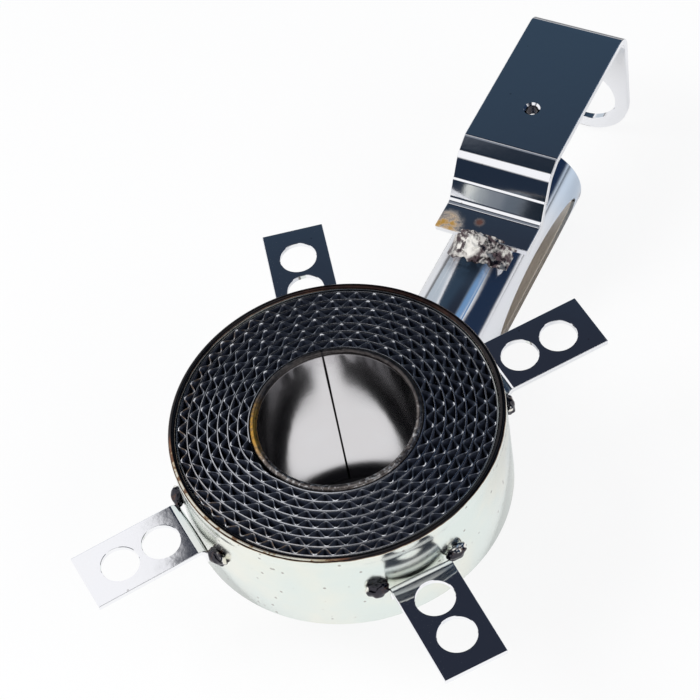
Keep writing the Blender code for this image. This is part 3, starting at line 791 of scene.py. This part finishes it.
def weld_finish():
    """Weld metal under dark crust, clean and pale where the bracket's bead is thickest."""
    metal = Metal("weld_metal")
    pits = metal.ramp(metal.noise(330.0, 4.0), 0.42, 0.60)
    crust = metal.blend(metal.noise(500.0), (0.045, 0.034, 0.042), (0.13, 0.095, 0.10))
    splash = metal.ramp(metal.noise(240.0, 4.0), 0.40, 0.56, 0.12, 1.0)
    pale = metal.times(metal.near((STRAP_LOW.x - 0.0035, 0.0035, FEED_HIGH.z + 0.002), 0.0070), splash)
    bright_spots = metal.highest(metal.times(pits, 0.75), metal.ramp(pale, 0.10, 0.55))
    metal.colour = metal.blend(bright_spots, crust, finishes().weld)
    roughness = metal.ramp(bright_spots, 0.0, 1.0, 0.22, 0.34)
    metallic = metal.ramp(pale, 0.2, 0.7, 1.0, 0.55)
    return metal.finish(roughness, metal.noise(700.0), strength=0.12, metallic=metallic)


def tack_finish():
    """Fused tack: smooth, mostly black scale with bright spots, partly bare metal and partly painted glints,
    and some rust.
    """
    metal = Metal("tack_metal")
    # Bright spots: partly bare metal, partly painted glints.
    bright_spots = metal.ramp(metal.noise(240.0, 1.0), 0.56, 0.62)
    rust = metal.ramp(metal.noise(520.0), 0.55, 0.70)
    metal.colour = metal.blend(bright_spots, (0.050, 0.048, 0.056), finishes().weld)
    metal.paint(metal.times(rust, 0.4), (0.26, 0.12, 0.06))
    roughness = metal.ramp(rust, 0.0, 1.0, 0.12, 0.32)
    return metal.finish(roughness, metal.noise(600.0, 2.0), strength=0.05)


# Pieces

class BURNER_OT_cup(bpy.types.Operator):
    """Cup wall with its folded rim"""
    bl_idname = "burner.cup"
    bl_label = "Cup"

    def execute(self, context):
        size = sizes()
        half_hem = size.hem_width / 2
        bore = HEAD_RADIUS - size.sheet
        low = CUP_LOW.z
        soft = 0.0006
        hem_end = RIM_Z - size.hem_height
        crown = arc_points((HEAD_RADIUS - half_hem, RIM_Z - half_hem), half_hem, 180, 0, 14)
        # A shallow crease in the wall: how far it goes in, and where below the rim.
        crease = ((0.0, 0.0036), (0.0001, 0.0040), (0.0001, 0.0058), (0.00002, 0.0064), (0.0, 0.010))
        profile = crown + [(HEAD_RADIUS - deep, RIM_Z - down) for deep, down in crease] + [
            (HEAD_RADIUS, low + soft), (HEAD_RADIUS - soft / 3, low + soft / 6), (HEAD_RADIUS - soft, low),
            (bore + soft / 3, low + soft / 6), (bore, low + soft), (bore, hem_end - soft / 2),
            (bore - soft / 3, hem_end), (HEAD_RADIUS - size.hem_width, hem_end + soft * 2 / 3)]

        def dented(index, angle, radius, height):
            """Slight waviness of hand-worked sheet."""
            spot = Vector((math.cos(angle) * 2.1, math.sin(angle) * 2.1, height * 60.0))
            return radius + 0.00006 * noise.noise(spot), height

        mesh = spun("cup_shell", profile, full_turn(220), dented)
        finish = wall_finish("plated_cup", burnt_rim_and_reflection=True)
        dress("cup_shell", mesh, finish, "burner_cup", sharp=50)
        return {"FINISHED"}


class BURNER_OT_bowl(bpy.types.Operator):
    """Bowl under the cup, and the finish of the rings that the strips stand on"""
    bl_idname = "burner.bowl"
    bl_label = "Bowl and rests"

    def execute(self, context):
        size = sizes()
        sheet = size.sheet
        top, slope = bowl_slope()
        low = BOWL_LOW.z
        knee = CUP_LOW.z
        stretch = math.hypot(1.0, slope)
        floor_bore = AIR_HIGH.x - size.lip_width + sheet + GAP
        inner = [(floor_bore, low), (floor_bore, low + sheet),
                 (size.bowl_floor + sheet * (slope - stretch), low + sheet),
                 (top - sheet, knee + sheet * (stretch - 1.0) / slope), (top - sheet, BOWL_HIGH.z)]
        shoulder_radius = 0.0016
        shoulder_centre = (size.bowl_floor - 0.001, low + shoulder_radius)
        shoulder = arc_points(shoulder_centre, shoulder_radius, -30, -90, 6)
        outer = [(top, BOWL_HIGH.z), (top, knee + 0.0004), (top - 0.0003, knee - 0.0006)]
        profile = outer + shoulder + inner
        mesh = spun("gas_bowl", profile, full_turn(160))
        bore = FEED_RADIUS - size.feed_wall
        past_wall = 0.02
        rings = [[(x, bore * math.cos(a), FEED_Z + bore * math.sin(a)) for a in full_turn(64)]
                 for x in (0.0, HEAD_RADIUS + past_wall)]
        mesh = carved(mesh, [lofted("bowl_port", rings)])
        finish = wall_finish("plated_bowl", burnt_rim_and_reflection=False)
        dress("gas_bowl", mesh, finish, "plenum_bowl")
        for node in ("ribbon_rest_outer", "ribbon_rest_inner"):
            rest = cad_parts[node]
            rest.data.materials.clear()
            rest.data.materials.append(finish)
        return {"FINISHED"}


class BURNER_OT_air_tube(bpy.types.Operator):
    """Central air tube with its seam and fused lip"""
    bl_idname = "burner.air_tube"
    bl_label = "Air tube"

    def execute(self, context):
        size = sizes()
        lip = AIR_HIGH.x
        half_lip = size.lip_width / 2
        bore = lip - size.lip_width
        outer = bore + size.sheet
        low = AIR_LOW.z
        soft = 0.0003
        crown_height = 0.0011
        crown = [(bore + half_lip + x * half_lip, RIM_Z - crown_height + y * crown_height)
                 for x, y in arc_points((0.0, 0.0), 1.0, 180, 0, 10)]
        under_lip = [(lip, RIM_Z - 0.003), (lip - soft, RIM_Z - 0.0055), (outer, RIM_Z - 0.006)]
        foot = [(outer, low + soft), (outer - soft, low), (bore + soft, low)]
        bore_low = low + 0.0004
        bore_top = RIM_Z - 0.002
        bore_steps = 12
        inner = [(bore, bore_top - (bore_top - bore_low) * i / bore_steps) for i in range(bore_steps + 1)]
        profile = crown + under_lip + foot + inner[::-1]
        lip_count = len(crown) + 2
        last_crown = len(crown) - 1
        seam = size.seam_angle
        groove_half = 0.011
        groove_deep = 0.00045
        raised_height = 0.00008
        angles = [a for a in full_turn(240) if off_seam(a, seam) > 0.03] + [seam]
        for step in (0.004, 0.009, 0.014, 0.026):
            angles += [seam - step, seam + step]
        angles.sort()

        def fused(index, angle, radius, height):
            """Beads on the lip and a groove with raised edges at the seam."""
            if index < lip_count:
                spot = Vector((math.cos(angle), math.sin(angle), 0.0))
                bead = noise.noise(spot * 14.0) * 0.5 + noise.noise(spot * 34.0 + Vector((3.1, 0.0, 0.7)))
                crest = math.sin(math.pi * min(index, last_crown) / last_crown)
                return radius + 0.00010 * bead, height + 0.00018 * bead * crest - 0.0003
            off = off_seam(angle, seam)
            if radius < bore + 0.0001 and off < 0.02:
                groove = groove_deep * max(0.0, 1.0 - off / groove_half)
                raised = raised_height * math.exp(-((off - groove_half) / 0.004) ** 2)
                return radius + groove - raised, height
            return radius, height

        mesh = spun("air_tube", profile, angles, fused)
        dress("air_tube", mesh, air_tube_finish(), "centre_air_tube", sharp=50)
        return {"FINISHED"}


class BURNER_OT_strips(bpy.types.Operator):
    """Flat and corrugated strip, each one unbroken winding"""
    bl_idname = "burner.strips"
    bl_label = "Strips"

    def layers_out(self, turn):
        """Layers wound on at a turn."""
        step = sizes().step_turn
        whole = np.floor(turn)
        rise = np.clip((turn - whole - 1.0 + step) / step, 0.0, 1.0)
        return whole + rise * rise * (3.0 - 2.0 * rise)

    def strip(self, name, node, turns, radii, gauge, tops, shine, slope, domed):
        """A standing strip with a sloped or domed top edge and a mask of its rubbed spots, which also carry
        painted highlights.
        """
        angles = sizes().strip_start - TURN * turns
        plan = np.stack([radii * np.cos(angles), radii * np.sin(angles)], 1)
        along = np.gradient(plan, axis=0)
        along /= np.linalg.norm(along, axis=1)[:, None]
        across = np.stack([-along[:, 1], along[:, 0]], 1)
        half = gauge / 2
        low = STRIP_LOW.z
        rings = []
        # The top edge falls by the slope towards one face, and rounds off at the rubbed spots that carry
        # painted highlights.
        for (x, y), (nx, ny), top, dome in zip(plan, across, tops, shine * domed):
            section = [(-half, low), (half, low), (half, top - half * (slope + 0.15 + 1.1 * dome)),
                       (half * 0.86, top - half * (slope * 0.92 + 0.5 * dome)),
                       (half * 0.1, top - half * slope * 0.49), (-half * 0.8, top - half * 0.4 * dome),
                       (-half, top - half * (0.15 + 0.9 * dome))]
            rings.append([(x + nx * off, y + ny * off, z) for off, z in section])
        mesh = lofted(name, rings)
        mask = mesh.attributes.new("rubbed", "FLOAT", "POINT")
        mask.data.foreach_set("value", np.repeat(shine, len(rings[0])).astype(np.float32))
        dress(name, mesh, self.finish, node, sharp=40)

    def execute(self, context):
        size = sizes()
        self.finish = strip_finish()
        rng = np.random.default_rng(7)
        first = AIR_HIGH.x + GAP + size.flat_gauge / 2
        last = HEAD_RADIUS - size.hem_width - GAP - size.flat_gauge / 2
        pitch = (last - first) / size.layers
        span = size.layers + 1.0 - size.step_turn
        turns = np.linspace(0.0, span, round(span * STEPS_PER_TURN) + 1)
        radii = first + pitch * self.layers_out(turns)
        drift = np.interp(turns, np.linspace(0.0, span, 60), rng.uniform(-0.00012, 0.0, 60))
        shine = np.interp(turns, np.linspace(0.0, span, 240), rng.uniform(0.36, 0.54, 240))
        tops = STRIP_HIGH.z + drift
        self.strip("flat_strip", "flat_ribbon", turns, radii, size.flat_gauge, tops, shine,
                   slope=1.02, domed=0.0)

        # The corrugated strip fills what the flat one leaves, wherever there is room for it.
        clearance = 0.00012
        spare = size.flat_gauge + size.wave_gauge + clearance
        fine = np.linspace(-size.step_turn, size.layers, 8000)
        inside = first + pitch * np.clip(self.layers_out(fine), 0.0, size.layers)
        outside = first + pitch * np.clip(self.layers_out(fine + 1.0), 0.0, size.layers)
        room = outside - inside > spare
        fine = fine[room]
        middle = (inside + outside)[room] / 2
        swing = (outside - inside - spare)[room] / 2
        runs = np.concatenate(([0.0], np.cumsum(math.pi * (middle[1:] + middle[:-1]) * np.diff(fine))))
        waves = round(runs[-1] / size.wave_pitch)
        phase = np.linspace(0.0, waves, waves * STEPS_PER_WAVE + 1)
        each = np.arange(waves + 1)
        uneven = np.interp(phase, each, rng.uniform(-0.06, 0.06, waves + 1))
        stops = phase / waves * runs[-1]
        turns = np.interp(stops, runs, fine)
        fold = np.sin(TURN * (phase + uneven))
        folded = np.arcsin(WAVE_SHARPNESS * fold) / math.asin(WAVE_SHARPNESS)
        radii = np.interp(stops, runs, middle) + np.interp(stops, runs, swing) * folded
        drift = np.interp(phase, each, rng.uniform(-0.00025, 0.00005, waves + 1))
        worn = np.interp(phase, np.arange(waves * 2 + 1) / 2, rng.uniform(0.6, 1.1, waves * 2 + 1))
        # Crests are rubbed and carry painted highlights, more at one face of the layer than at the other.
        crests = np.clip((np.abs(fold) - 0.66) / 0.20, 0.0, 1.0)
        shine = crests * worn * np.where(fold > 0.0, 1.0, 0.5)
        tops = STRIP_HIGH.z - 0.0001 + drift
        self.strip("wave_strip", "corrugated_ribbon", turns, radii, size.wave_gauge, tops, shine,
                   slope=0.3, domed=1.0)
        return {"FINISHED"}


class BURNER_OT_mixing_tube(bpy.types.Operator):
    """Slotted mixing tube, fitted to the bowl"""
    bl_idname = "burner.mixing_tube"
    bl_label = "Mixing tube"

    def execute(self, context):
        size = sizes()
        edge = size.edge
        bore = FEED_RADIUS - size.feed_wall
        reach = FEED_HIGH.x
        outline = [(FEED_RADIUS, 0.0), (FEED_RADIUS, reach - edge),
                   (FEED_RADIUS - edge * 0.3, reach - edge * 0.3), (FEED_RADIUS - edge, reach),
                   (bore + edge, reach), (bore + edge * 0.3, reach - edge * 0.3),
                   (bore, reach - edge), (bore, 0.0)]
        turn = full_turn(128)
        points = [(x, r * math.cos(a), FEED_Z + r * math.sin(a)) for a in turn for r, x in outline]
        mesh = mesh_from("mixing_tube_skin", points, skin(len(turn), len(outline), closed=True))
        top, slope = bowl_slope()
        past_floor = 0.012
        deep = BOWL_LOW.z - past_floor
        head_outline = [(HEAD_RADIUS + GAP, RIM_Z), (HEAD_RADIUS + GAP, CUP_LOW.z - GAP),
                        (top + GAP, CUP_LOW.z - GAP),
                        (size.bowl_floor + (deep - BOWL_LOW.z) * slope + GAP, deep)]
        head = lofted("head_space", [level_ring(0.0, r, z, 128) for r, z in head_outline])
        half_long = size.slot_length / 2
        half_high = size.slot_height / 2
        slot_x = reach - size.slot_from_mouth - half_long
        past_tube = 0.04
        rings = [[(slot_x + half_long * math.cos(a), y, FEED_Z + half_high * math.sin(a))
                  for a in full_turn(96)] for y in (-past_tube, past_tube)]
        mesh = carved(mesh, [head, lofted("air_slots", rings)])
        dress("mixing_tube_skin", mesh, feed_tube_finish(), "mixing_tube", sharp=40)
        return {"FINISHED"}


class BURNER_OT_bracket(bpy.types.Operator):
    """Stepped bracket with the jet tab"""
    bl_idname = "burner.bracket"
    bl_label = "Jet bracket"

    def execute(self, context):
        size = sizes()
        gauge = size.strap_gauge
        half = gauge / 2
        width = (STRAP_HIGH.y - STRAP_LOW.y) / 2
        low = FEED_HIGH.z + GAP + half
        top = STRAP_HIGH.z - half
        foot = STRAP_LOW.x + STEP_FROM_END
        tab = STRAP_HIGH.x - half
        corners = [(STRAP_LOW.x, low), (foot, low)] + [(foot + x, low + z) for x, z in STEP_RISE]
        corners += [(foot + STEP_RUN, top), (tab, top), (tab, FEED_Z)]
        line = filleted([Vector(corner) for corner in corners], STEP_BENDS + [TAB_BEND + half])
        widths = [width] * len(line)
        round_steps = 18
        round_degrees = 85.0
        for i in range(1, round_steps + 1):
            angle = math.radians(round_degrees * i / round_steps)
            line.append((Vector((tab, FEED_Z - width * math.sin(angle))), Vector((0.0, -1.0))))
            widths.append(width * math.cos(angle))
        mesh = strap_mesh("jet_bracket", line, widths, half, size.edge)
        jet = Matrix.Translation((tab, 0.0, FEED_Z)) @ Matrix.Rotation(math.pi / 2, 4, "Y")
        screw = Matrix.Translation((size.screw_x, 0.0, top - COLLAR_DEEP / 2))
        collar = lofted("screw_collar", [level_ring(size.screw_x, COLLAR_RADIUS, z, 48)
                                         for z in (top - half - COLLAR_DEEP, top)])
        holes = [spool("jet_hole", size.jet_hole, gauge, size.edge * 0.5, jet),
                 spool("screw_hole", size.screw_hole, gauge + COLLAR_DEEP, COLLAR_EDGE, screw)]
        mesh = carved(mesh, holes, [collar])
        finish = strap_finish("plated_bracket", tinted=True)
        dress("jet_bracket", mesh, finish, "orifice_bracket", sharp=32, crisp=True)
        return {"FINISHED"}


class BURNER_OT_legs(bpy.types.Operator):
    """Four flat legs with bolt holes"""
    bl_idname = "burner.legs"
    bl_label = "Legs"

    def execute(self, context):
        size = sizes()
        half = size.leg_gauge / 2
        face = HEAD_RADIUS + GAP + half
        finish = strap_finish("plated_leg", tinted=False)
        corners = [Vector((face, LEG_LOW.z)), Vector((face, half)), Vector((size.leg_reach, half))]
        line = filleted(corners, [size.leg_bend + half])
        widths = [size.leg_width / 2] * len(line)
        for number, degrees in enumerate(LEG_ANGLES, start=1):
            mesh = strap_mesh(f"leg_plate_{number}", line, widths, half, size.edge)
            holes = [spool(f"bolt_{x}", size.leg_hole, size.leg_gauge, size.edge * 0.5,
                           Matrix.Translation((size.leg_reach - x, 0.0, half))) for x in LEG_HOLES_FROM_TIP]
            mesh = carved(mesh, holes)
            mesh.transform(Matrix.Rotation(math.radians(degrees), 4, "Z"))
            dress(f"leg_plate_{number}", mesh, finish, f"leg_{number}", sharp=32, crisp=True)
        return {"FINISHED"}


class BURNER_OT_welds(bpy.types.Operator):
    """Weld beads and tacks"""
    bl_idname = "burner.welds"
    bl_label = "Welds"

    def execute(self, context):
        self.tacks(tack_finish())
        finish = weld_finish()
        self.bracket_bead(finish)
        self.tube_bead(finish)
        return {"FINISHED"}

    def tacks(self, finish):
        """Two blobs at each leg, against the cup's wall."""
        beside_leg = 0.0028
        off_wall = 0.0010
        sunk = 0.0003
        axes = (0.0023, 0.0037, 0.0028)
        lean = math.asin((sizes().leg_width / 2 + beside_leg) / HEAD_RADIUS)
        out = Matrix.Translation((HEAD_RADIUS + off_wall, 0.0, -sunk))
        for number, degrees in enumerate(LEG_ANGLES, start=1):
            turn = Matrix.Rotation(math.radians(degrees), 4, "Z")
            for letter, side in (("a", 1.0), ("b", -1.0)):
                place = turn @ (Matrix.Rotation(side * lean, 4, "Z") @ out)
                name = f"tack_{number}_{letter}"
                mesh = lumpy(name, axes, place, number * 3.7 + side, rough=0.20, fine=0.01)
                dress(name, mesh, finish, f"leg_{number}_tack_{letter}", sharp=60)

    def bracket_bead(self, finish):
        """Rough bead over the bracket's end, seated on the tube."""
        long_steps, wide_steps = 36, 56
        half_wide = 0.0115
        ahead = 0.0085
        behind = 0.0012
        strap_top = FEED_Z + FEED_RADIUS + sizes().strap_gauge

        def tube_top(y):
            """Height of the tube's skin beside its axis."""
            return FEED_Z + math.sqrt(max(0.0, FEED_RADIUS ** 2 - y * y))

        points = []
        for i in range(long_steps + 1):
            u = i / long_steps
            for j in range(wide_steps + 1):
                v = 2.0 * j / wide_steps - 1.0
                y = v * half_wide
                spot = Vector((u * 3.0, v * 4.0, 0.0))
                ragged = 1.0 + 0.22 * noise.noise(spot * 1.3 + Vector((5.0, 1.0, 2.0)))
                run = (ahead + behind) * ragged * math.sqrt(max(0.0, 1.0 - 0.55 * v * v))
                base = tube_top(y)
                dome = max(0.0, math.sin(math.pi * min(1.0, 0.34 + 0.66 * u))) * max(0.0, 1.0 - v ** 4)
                lumps = noise.noise(spot * 1.5) + 0.35 * noise.noise(spot * 3.4 + Vector((1.0, 7.0, 0.0)))
                flush = max(0.0, 1.0 - 2.2 * u) * (strap_top - base - 0.0008) * (1.0 - v ** 6)
                height = base + dome * (0.0028 + 0.0011 * lumps) + flush
                points.append((STRAP_LOW.x + behind - u * run, y, max(height, base - 0.0002)))
        across = wide_steps + 1
        total = len(points)
        points += [(x, y, tube_top(y) - 0.0004) for x, y, z in points]
        faces = []
        for start in (0, total):
            for i in range(long_steps):
                for j in range(wide_steps):
                    a = start + i * across + j
                    faces.append((a, a + 1, a + across + 1, a + across))
        rim = list(range(across)) + [i * across + across - 1 for i in range(1, long_steps + 1)]
        rim += [long_steps * across + j for j in range(across - 2, -1, -1)]
        rim += [i * across for i in range(long_steps - 1, 0, -1)]
        for a, b in zip(rim, rim[1:] + rim[:1]):
            faces.append((a, b, total + b, total + a))
        mesh = mesh_from("bracket_bead", points, faces)
        dress("bracket_bead", mesh, finish, "bracket_weld", sharp=60)

    def tube_bead(self, finish):
        """Rippled bead round the joint of tube and bowl."""
        radius = 0.0013
        ripples = 44
        steps = 360
        ring = FEED_RADIUS + radius
        fall = (HEAD_RADIUS - sizes().bowl_floor) / (CUP_LOW.z - BOWL_LOW.z)
        path = []
        for angle in full_turn(steps):
            y = ring * math.cos(angle)
            z = FEED_Z + ring * math.sin(angle)
            reach = HEAD_RADIUS - max(0.0, CUP_LOW.z - z) * fall + radius * 1.1
            path.append(Vector((math.sqrt(reach ** 2 - y ** 2), y, z)))
        rings = []
        for i, spot in enumerate(path):
            ahead = (path[(i + 1) % steps] - path[i - 1]).normalized()
            out = Vector((0.0, spot.y, spot.z - FEED_Z)).normalized()
            side = ahead.cross(out).normalized()
            out = side.cross(ahead)
            ripple = 1.0 + 0.13 * abs(math.sin(i * math.pi * ripples / steps))
            ripple += 0.1 * noise.noise(spot * 300.0)
            section = [spot + (out * math.cos(a) + side * math.sin(a)) * radius * ripple
                       for a in full_turn(12)]
            rings.append([(p.x, p.y, max(p.z, CAD_BOUNDS[0][2])) for p in section])
        mesh = lofted("tube_bead", rings, closed=True)
        dress("tube_bead", mesh, finish, "tube_weld", sharp=60)


# Studio

class BURNER_OT_stage(bpy.types.Operator):
    """Pale floor, soft light, white surroundings with dark panels, and the camera"""
    bl_idname = "burner.stage"
    bl_label = "Studio"

    def execute(self, context):
        self.floor()
        self.world(context.scene)
        self.lamps()
        self.camera(context.scene)
        context.scene.view_settings.view_transform = "Standard"
        return {"FINISHED"}

    def floor(self):
        """Pale floor, almost white to the camera, darker to reflections in a few zones."""
        mesh = bpy.data.meshes.new("studio_floor")
        clear = 0.0002
        low = CAD_BOUNDS[0][2] - clear
        reach = 1.6
        square = ((-reach, -reach), (reach, -reach), (reach, reach), (-reach, reach))
        mesh.from_pydata([(x, y, low) for x, y in square], [], [(0, 1, 2, 3)])
        floor = bpy.data.objects.new("studio_floor", mesh)
        bpy.context.scene.collection.objects.link(floor)
        material = bpy.data.materials.new("pale_floor")
        material.use_nodes = True
        tree = material.node_tree
        nodes = Nodes(tree)
        nodes.place = nodes.add("NewGeometry").outputs["Position"]
        rays = nodes.add("LightPath").outputs
        unlit, dark = self.floor_zones(nodes, rays["Is Glossy Ray"])
        shader = tree.nodes["Principled BSDF"]
        shader.inputs["Roughness"].default_value = 0.9
        nodes.feed(shader.inputs["Base Color"], nodes.blend(unlit, finishes().floor, (0.02, 0.02, 0.025)))
        glow = nodes.add("Emission")
        glow.inputs["Strength"].default_value = 1.0
        seen = nodes.maths("ADD", rays["Is Camera Ray"], rays["Is Glossy Ray"], clamp=True)
        seen = nodes.maths("ADD", seen, rays["Is Transmission Ray"], clamp=True)
        mix = nodes.add("MixShader")
        white_share = 0.86
        nodes.feed(mix.inputs[0], nodes.times(seen, nodes.rest_of(dark), white_share))
        nodes.feed(mix.inputs[1], shader.outputs[0])
        nodes.feed(mix.inputs[2], glow.outputs[0])
        nodes.feed(tree.nodes["Material Output"].inputs["Surface"], mix.outputs[0])
        mesh.materials.append(material)

    def floor_zones(self, nodes, glossy):
        """Where the floor's own colour is darkened by painted shadow and dark reflections, and where it
        doesn't glow white.
        """
        spread = nodes.away(LEVEL)
        # Painted shadow: a dark ring under the air tube, open towards the camera; to all rays, but only the
        # bore shows it.
        sector = nodes.ramp(nodes.maths("DIVIDE", nodes.toward(-0.819, -0.574), spread), 0.99, 0.72)
        under = nodes.times(nodes.ramp(spread, 0.0174, 0.0194), nodes.ramp(spread, 0.031, 0.028), sector)
        # Painted dark reflections, to reflections only: the burner's right, a spot by leg_3, and far ahead.
        right = nodes.times(nodes.ramp(nodes.toward(0.94, -0.34), 0.035, 0.085), 0.6)
        spot = nodes.near((-0.052, -0.089, CAD_BOUNDS[0][2]), 0.022)
        far = nodes.ramp(nodes.toward(0.87, 0.50), 0.18, 0.32)
        shade = nodes.times(nodes.highest(right, spot, nodes.times(far, 0.92)), glossy)
        return nodes.highest(under, nodes.times(far, glossy, 0.80)), nodes.highest(under, shade)

    def patch(self, nodes, azimuth, behind, height, area):
        """Mask of a soft-edged patch of the surroundings."""
        (left, right), (under, over), (left_soft, right_soft, high_soft) = [
            [math.radians(value) for value in part] for part in area]
        if right > math.pi:
            azimuth = behind
            left -= math.pi
            right -= math.pi
        return nodes.times(nodes.ramp(azimuth, left - left_soft, left + left_soft),
                           nodes.ramp(azimuth, right + right_soft, right - right_soft),
                           nodes.ramp(height, under - high_soft, under + high_soft),
                           nodes.ramp(height, over + high_soft, over - high_soft))

    def world(self, scene):
        """White surroundings with a few dark panels, as bright metal shows them."""
        world = bpy.data.worlds.new("studio")
        scene.world = world
        world.use_nodes = True
        nodes = Nodes(world.node_tree)
        parts = nodes.add("SeparateXYZ")
        nodes.feed(parts.inputs[0], nodes.add("TexCoord").outputs["Generated"])
        x, y, z = parts.outputs
        azimuth = nodes.maths("ARCTAN2", y, x)
        behind = nodes.maths("ARCTAN2", nodes.times(y, -1.0), nodes.times(x, -1.0))
        height = nodes.maths("ARCSINE", z)
        colour = SKY
        for areas, share, shades in SURROUNDINGS.values():
            mask = nodes.highest(*[self.patch(nodes, azimuth, behind, height, area) for area in areas])
            shade = shades[0]
            if len(shades) == 2:
                shade = nodes.blend(nodes.ramp(height, *PANEL_CHANGE), *shades)
            colour = nodes.blend(nodes.times(mask, share), colour, shade)
        camera_ray = nodes.add("LightPath").outputs["Is Camera Ray"]
        colour = nodes.blend(camera_ray, colour, (1.0, 1.0, 1.0))
        back = world.node_tree.nodes["Background"]
        nodes.feed(back.inputs["Color"], colour)
        back.inputs["Strength"].default_value = 1.0

    def lamps(self):
        """One soft key and one soft fill, which reflections don't show."""
        for name, spot, power, width in LAMPS:
            light = bpy.data.lights.new(name, "AREA")
            light.energy = power
            light.size = width
            lamp = bpy.data.objects.new(name, light)
            lamp.location = spot
            lamp.rotation_euler = (-Vector(spot)).to_track_quat("-Z", "Y").to_euler()
            lamp.visible_glossy = False
            bpy.context.scene.collection.objects.link(lamp)

    def camera(self, scene):
        """Camera at the photograph's place, fitted to the head's rim."""
        photo_width = 700.0
        sensor = 36.0
        height = math.radians(52.287)
        roll = math.radians(-11.602)
        azimuth = math.radians(215.0)
        distance = 0.731727
        # In pixels of the photograph: the focal length, and the middle of the head's rim.
        focal = 2315.81
        rim_pixel = (335.683, 416.009)
        side = Vector((1.0, 0.0, 0.0))
        up = Vector((0.0, math.sin(height), math.cos(height)))
        back = Vector((0.0, -math.cos(height), math.sin(height)))
        right = side * math.cos(roll) + up * math.sin(roll)
        top = up * math.cos(roll) - side * math.sin(roll)
        off_x = (rim_pixel[0] - photo_width / 2) / focal * distance
        off_y = (photo_width / 2 - rim_pixel[1]) / focal * distance
        pose = Matrix((right, top, back)).transposed().to_4x4()
        pose.translation = back * distance - right * off_x - top * off_y
        # The pose above looks along +Y, from an azimuth of -90 degrees.
        turn = Matrix.Translation((0.0, 0.0, RIM_Z)) @ Matrix.Rotation(azimuth + math.pi / 2, 4, "Z")
        lens = bpy.data.cameras.new("photo_camera")
        lens.sensor_width = sensor
        lens.lens = focal / photo_width * sensor
        camera = bpy.data.objects.new("photo_camera", lens)
        scene.collection.objects.link(camera)
        camera.matrix_world = turn @ pose
        scene.camera = camera


class BURNER_PT_panel(bpy.types.Panel):
    """Buttons for the pieces"""
    bl_idname = "BURNER_PT_panel"
    bl_label = "Ribbon burner"
    bl_space_type = "VIEW_3D"
    bl_region_type = "UI"
    bl_category = "Burner"

    def draw(self, context):
        for step in STEPS:
            self.layout.operator(step.bl_idname)


STEPS = (BURNER_OT_cup, BURNER_OT_bowl, BURNER_OT_air_tube, BURNER_OT_strips, BURNER_OT_mixing_tube,
         BURNER_OT_bracket, BURNER_OT_legs, BURNER_OT_welds, BURNER_OT_stage)
CLASSES = (BurnerSizes, BurnerFinishes, *STEPS, BURNER_PT_panel)


def register():
    """Register the classes and their settings."""
    for item in CLASSES:
        bpy.utils.register_class(item)
    bpy.types.Scene.burner_sizes = PointerProperty(type=BurnerSizes)
    bpy.types.Scene.burner_finishes = PointerProperty(type=BurnerFinishes)


def unregister():
    """Remove the classes and their settings."""
    del bpy.types.Scene.burner_finishes
    del bpy.types.Scene.burner_sizes
    for item in reversed(CLASSES):
        bpy.utils.unregister_class(item)


def main():
    """Build the burner and its studio."""
    register()
    bpy.ops.burner.cup()
    bpy.ops.burner.bowl()
    bpy.ops.burner.air_tube()
    bpy.ops.burner.strips()
    bpy.ops.burner.mixing_tube()
    bpy.ops.burner.bracket()
    bpy.ops.burner.legs()
    bpy.ops.burner.welds()
    bpy.ops.burner.stage()


if __name__ == "__main__":
    main()
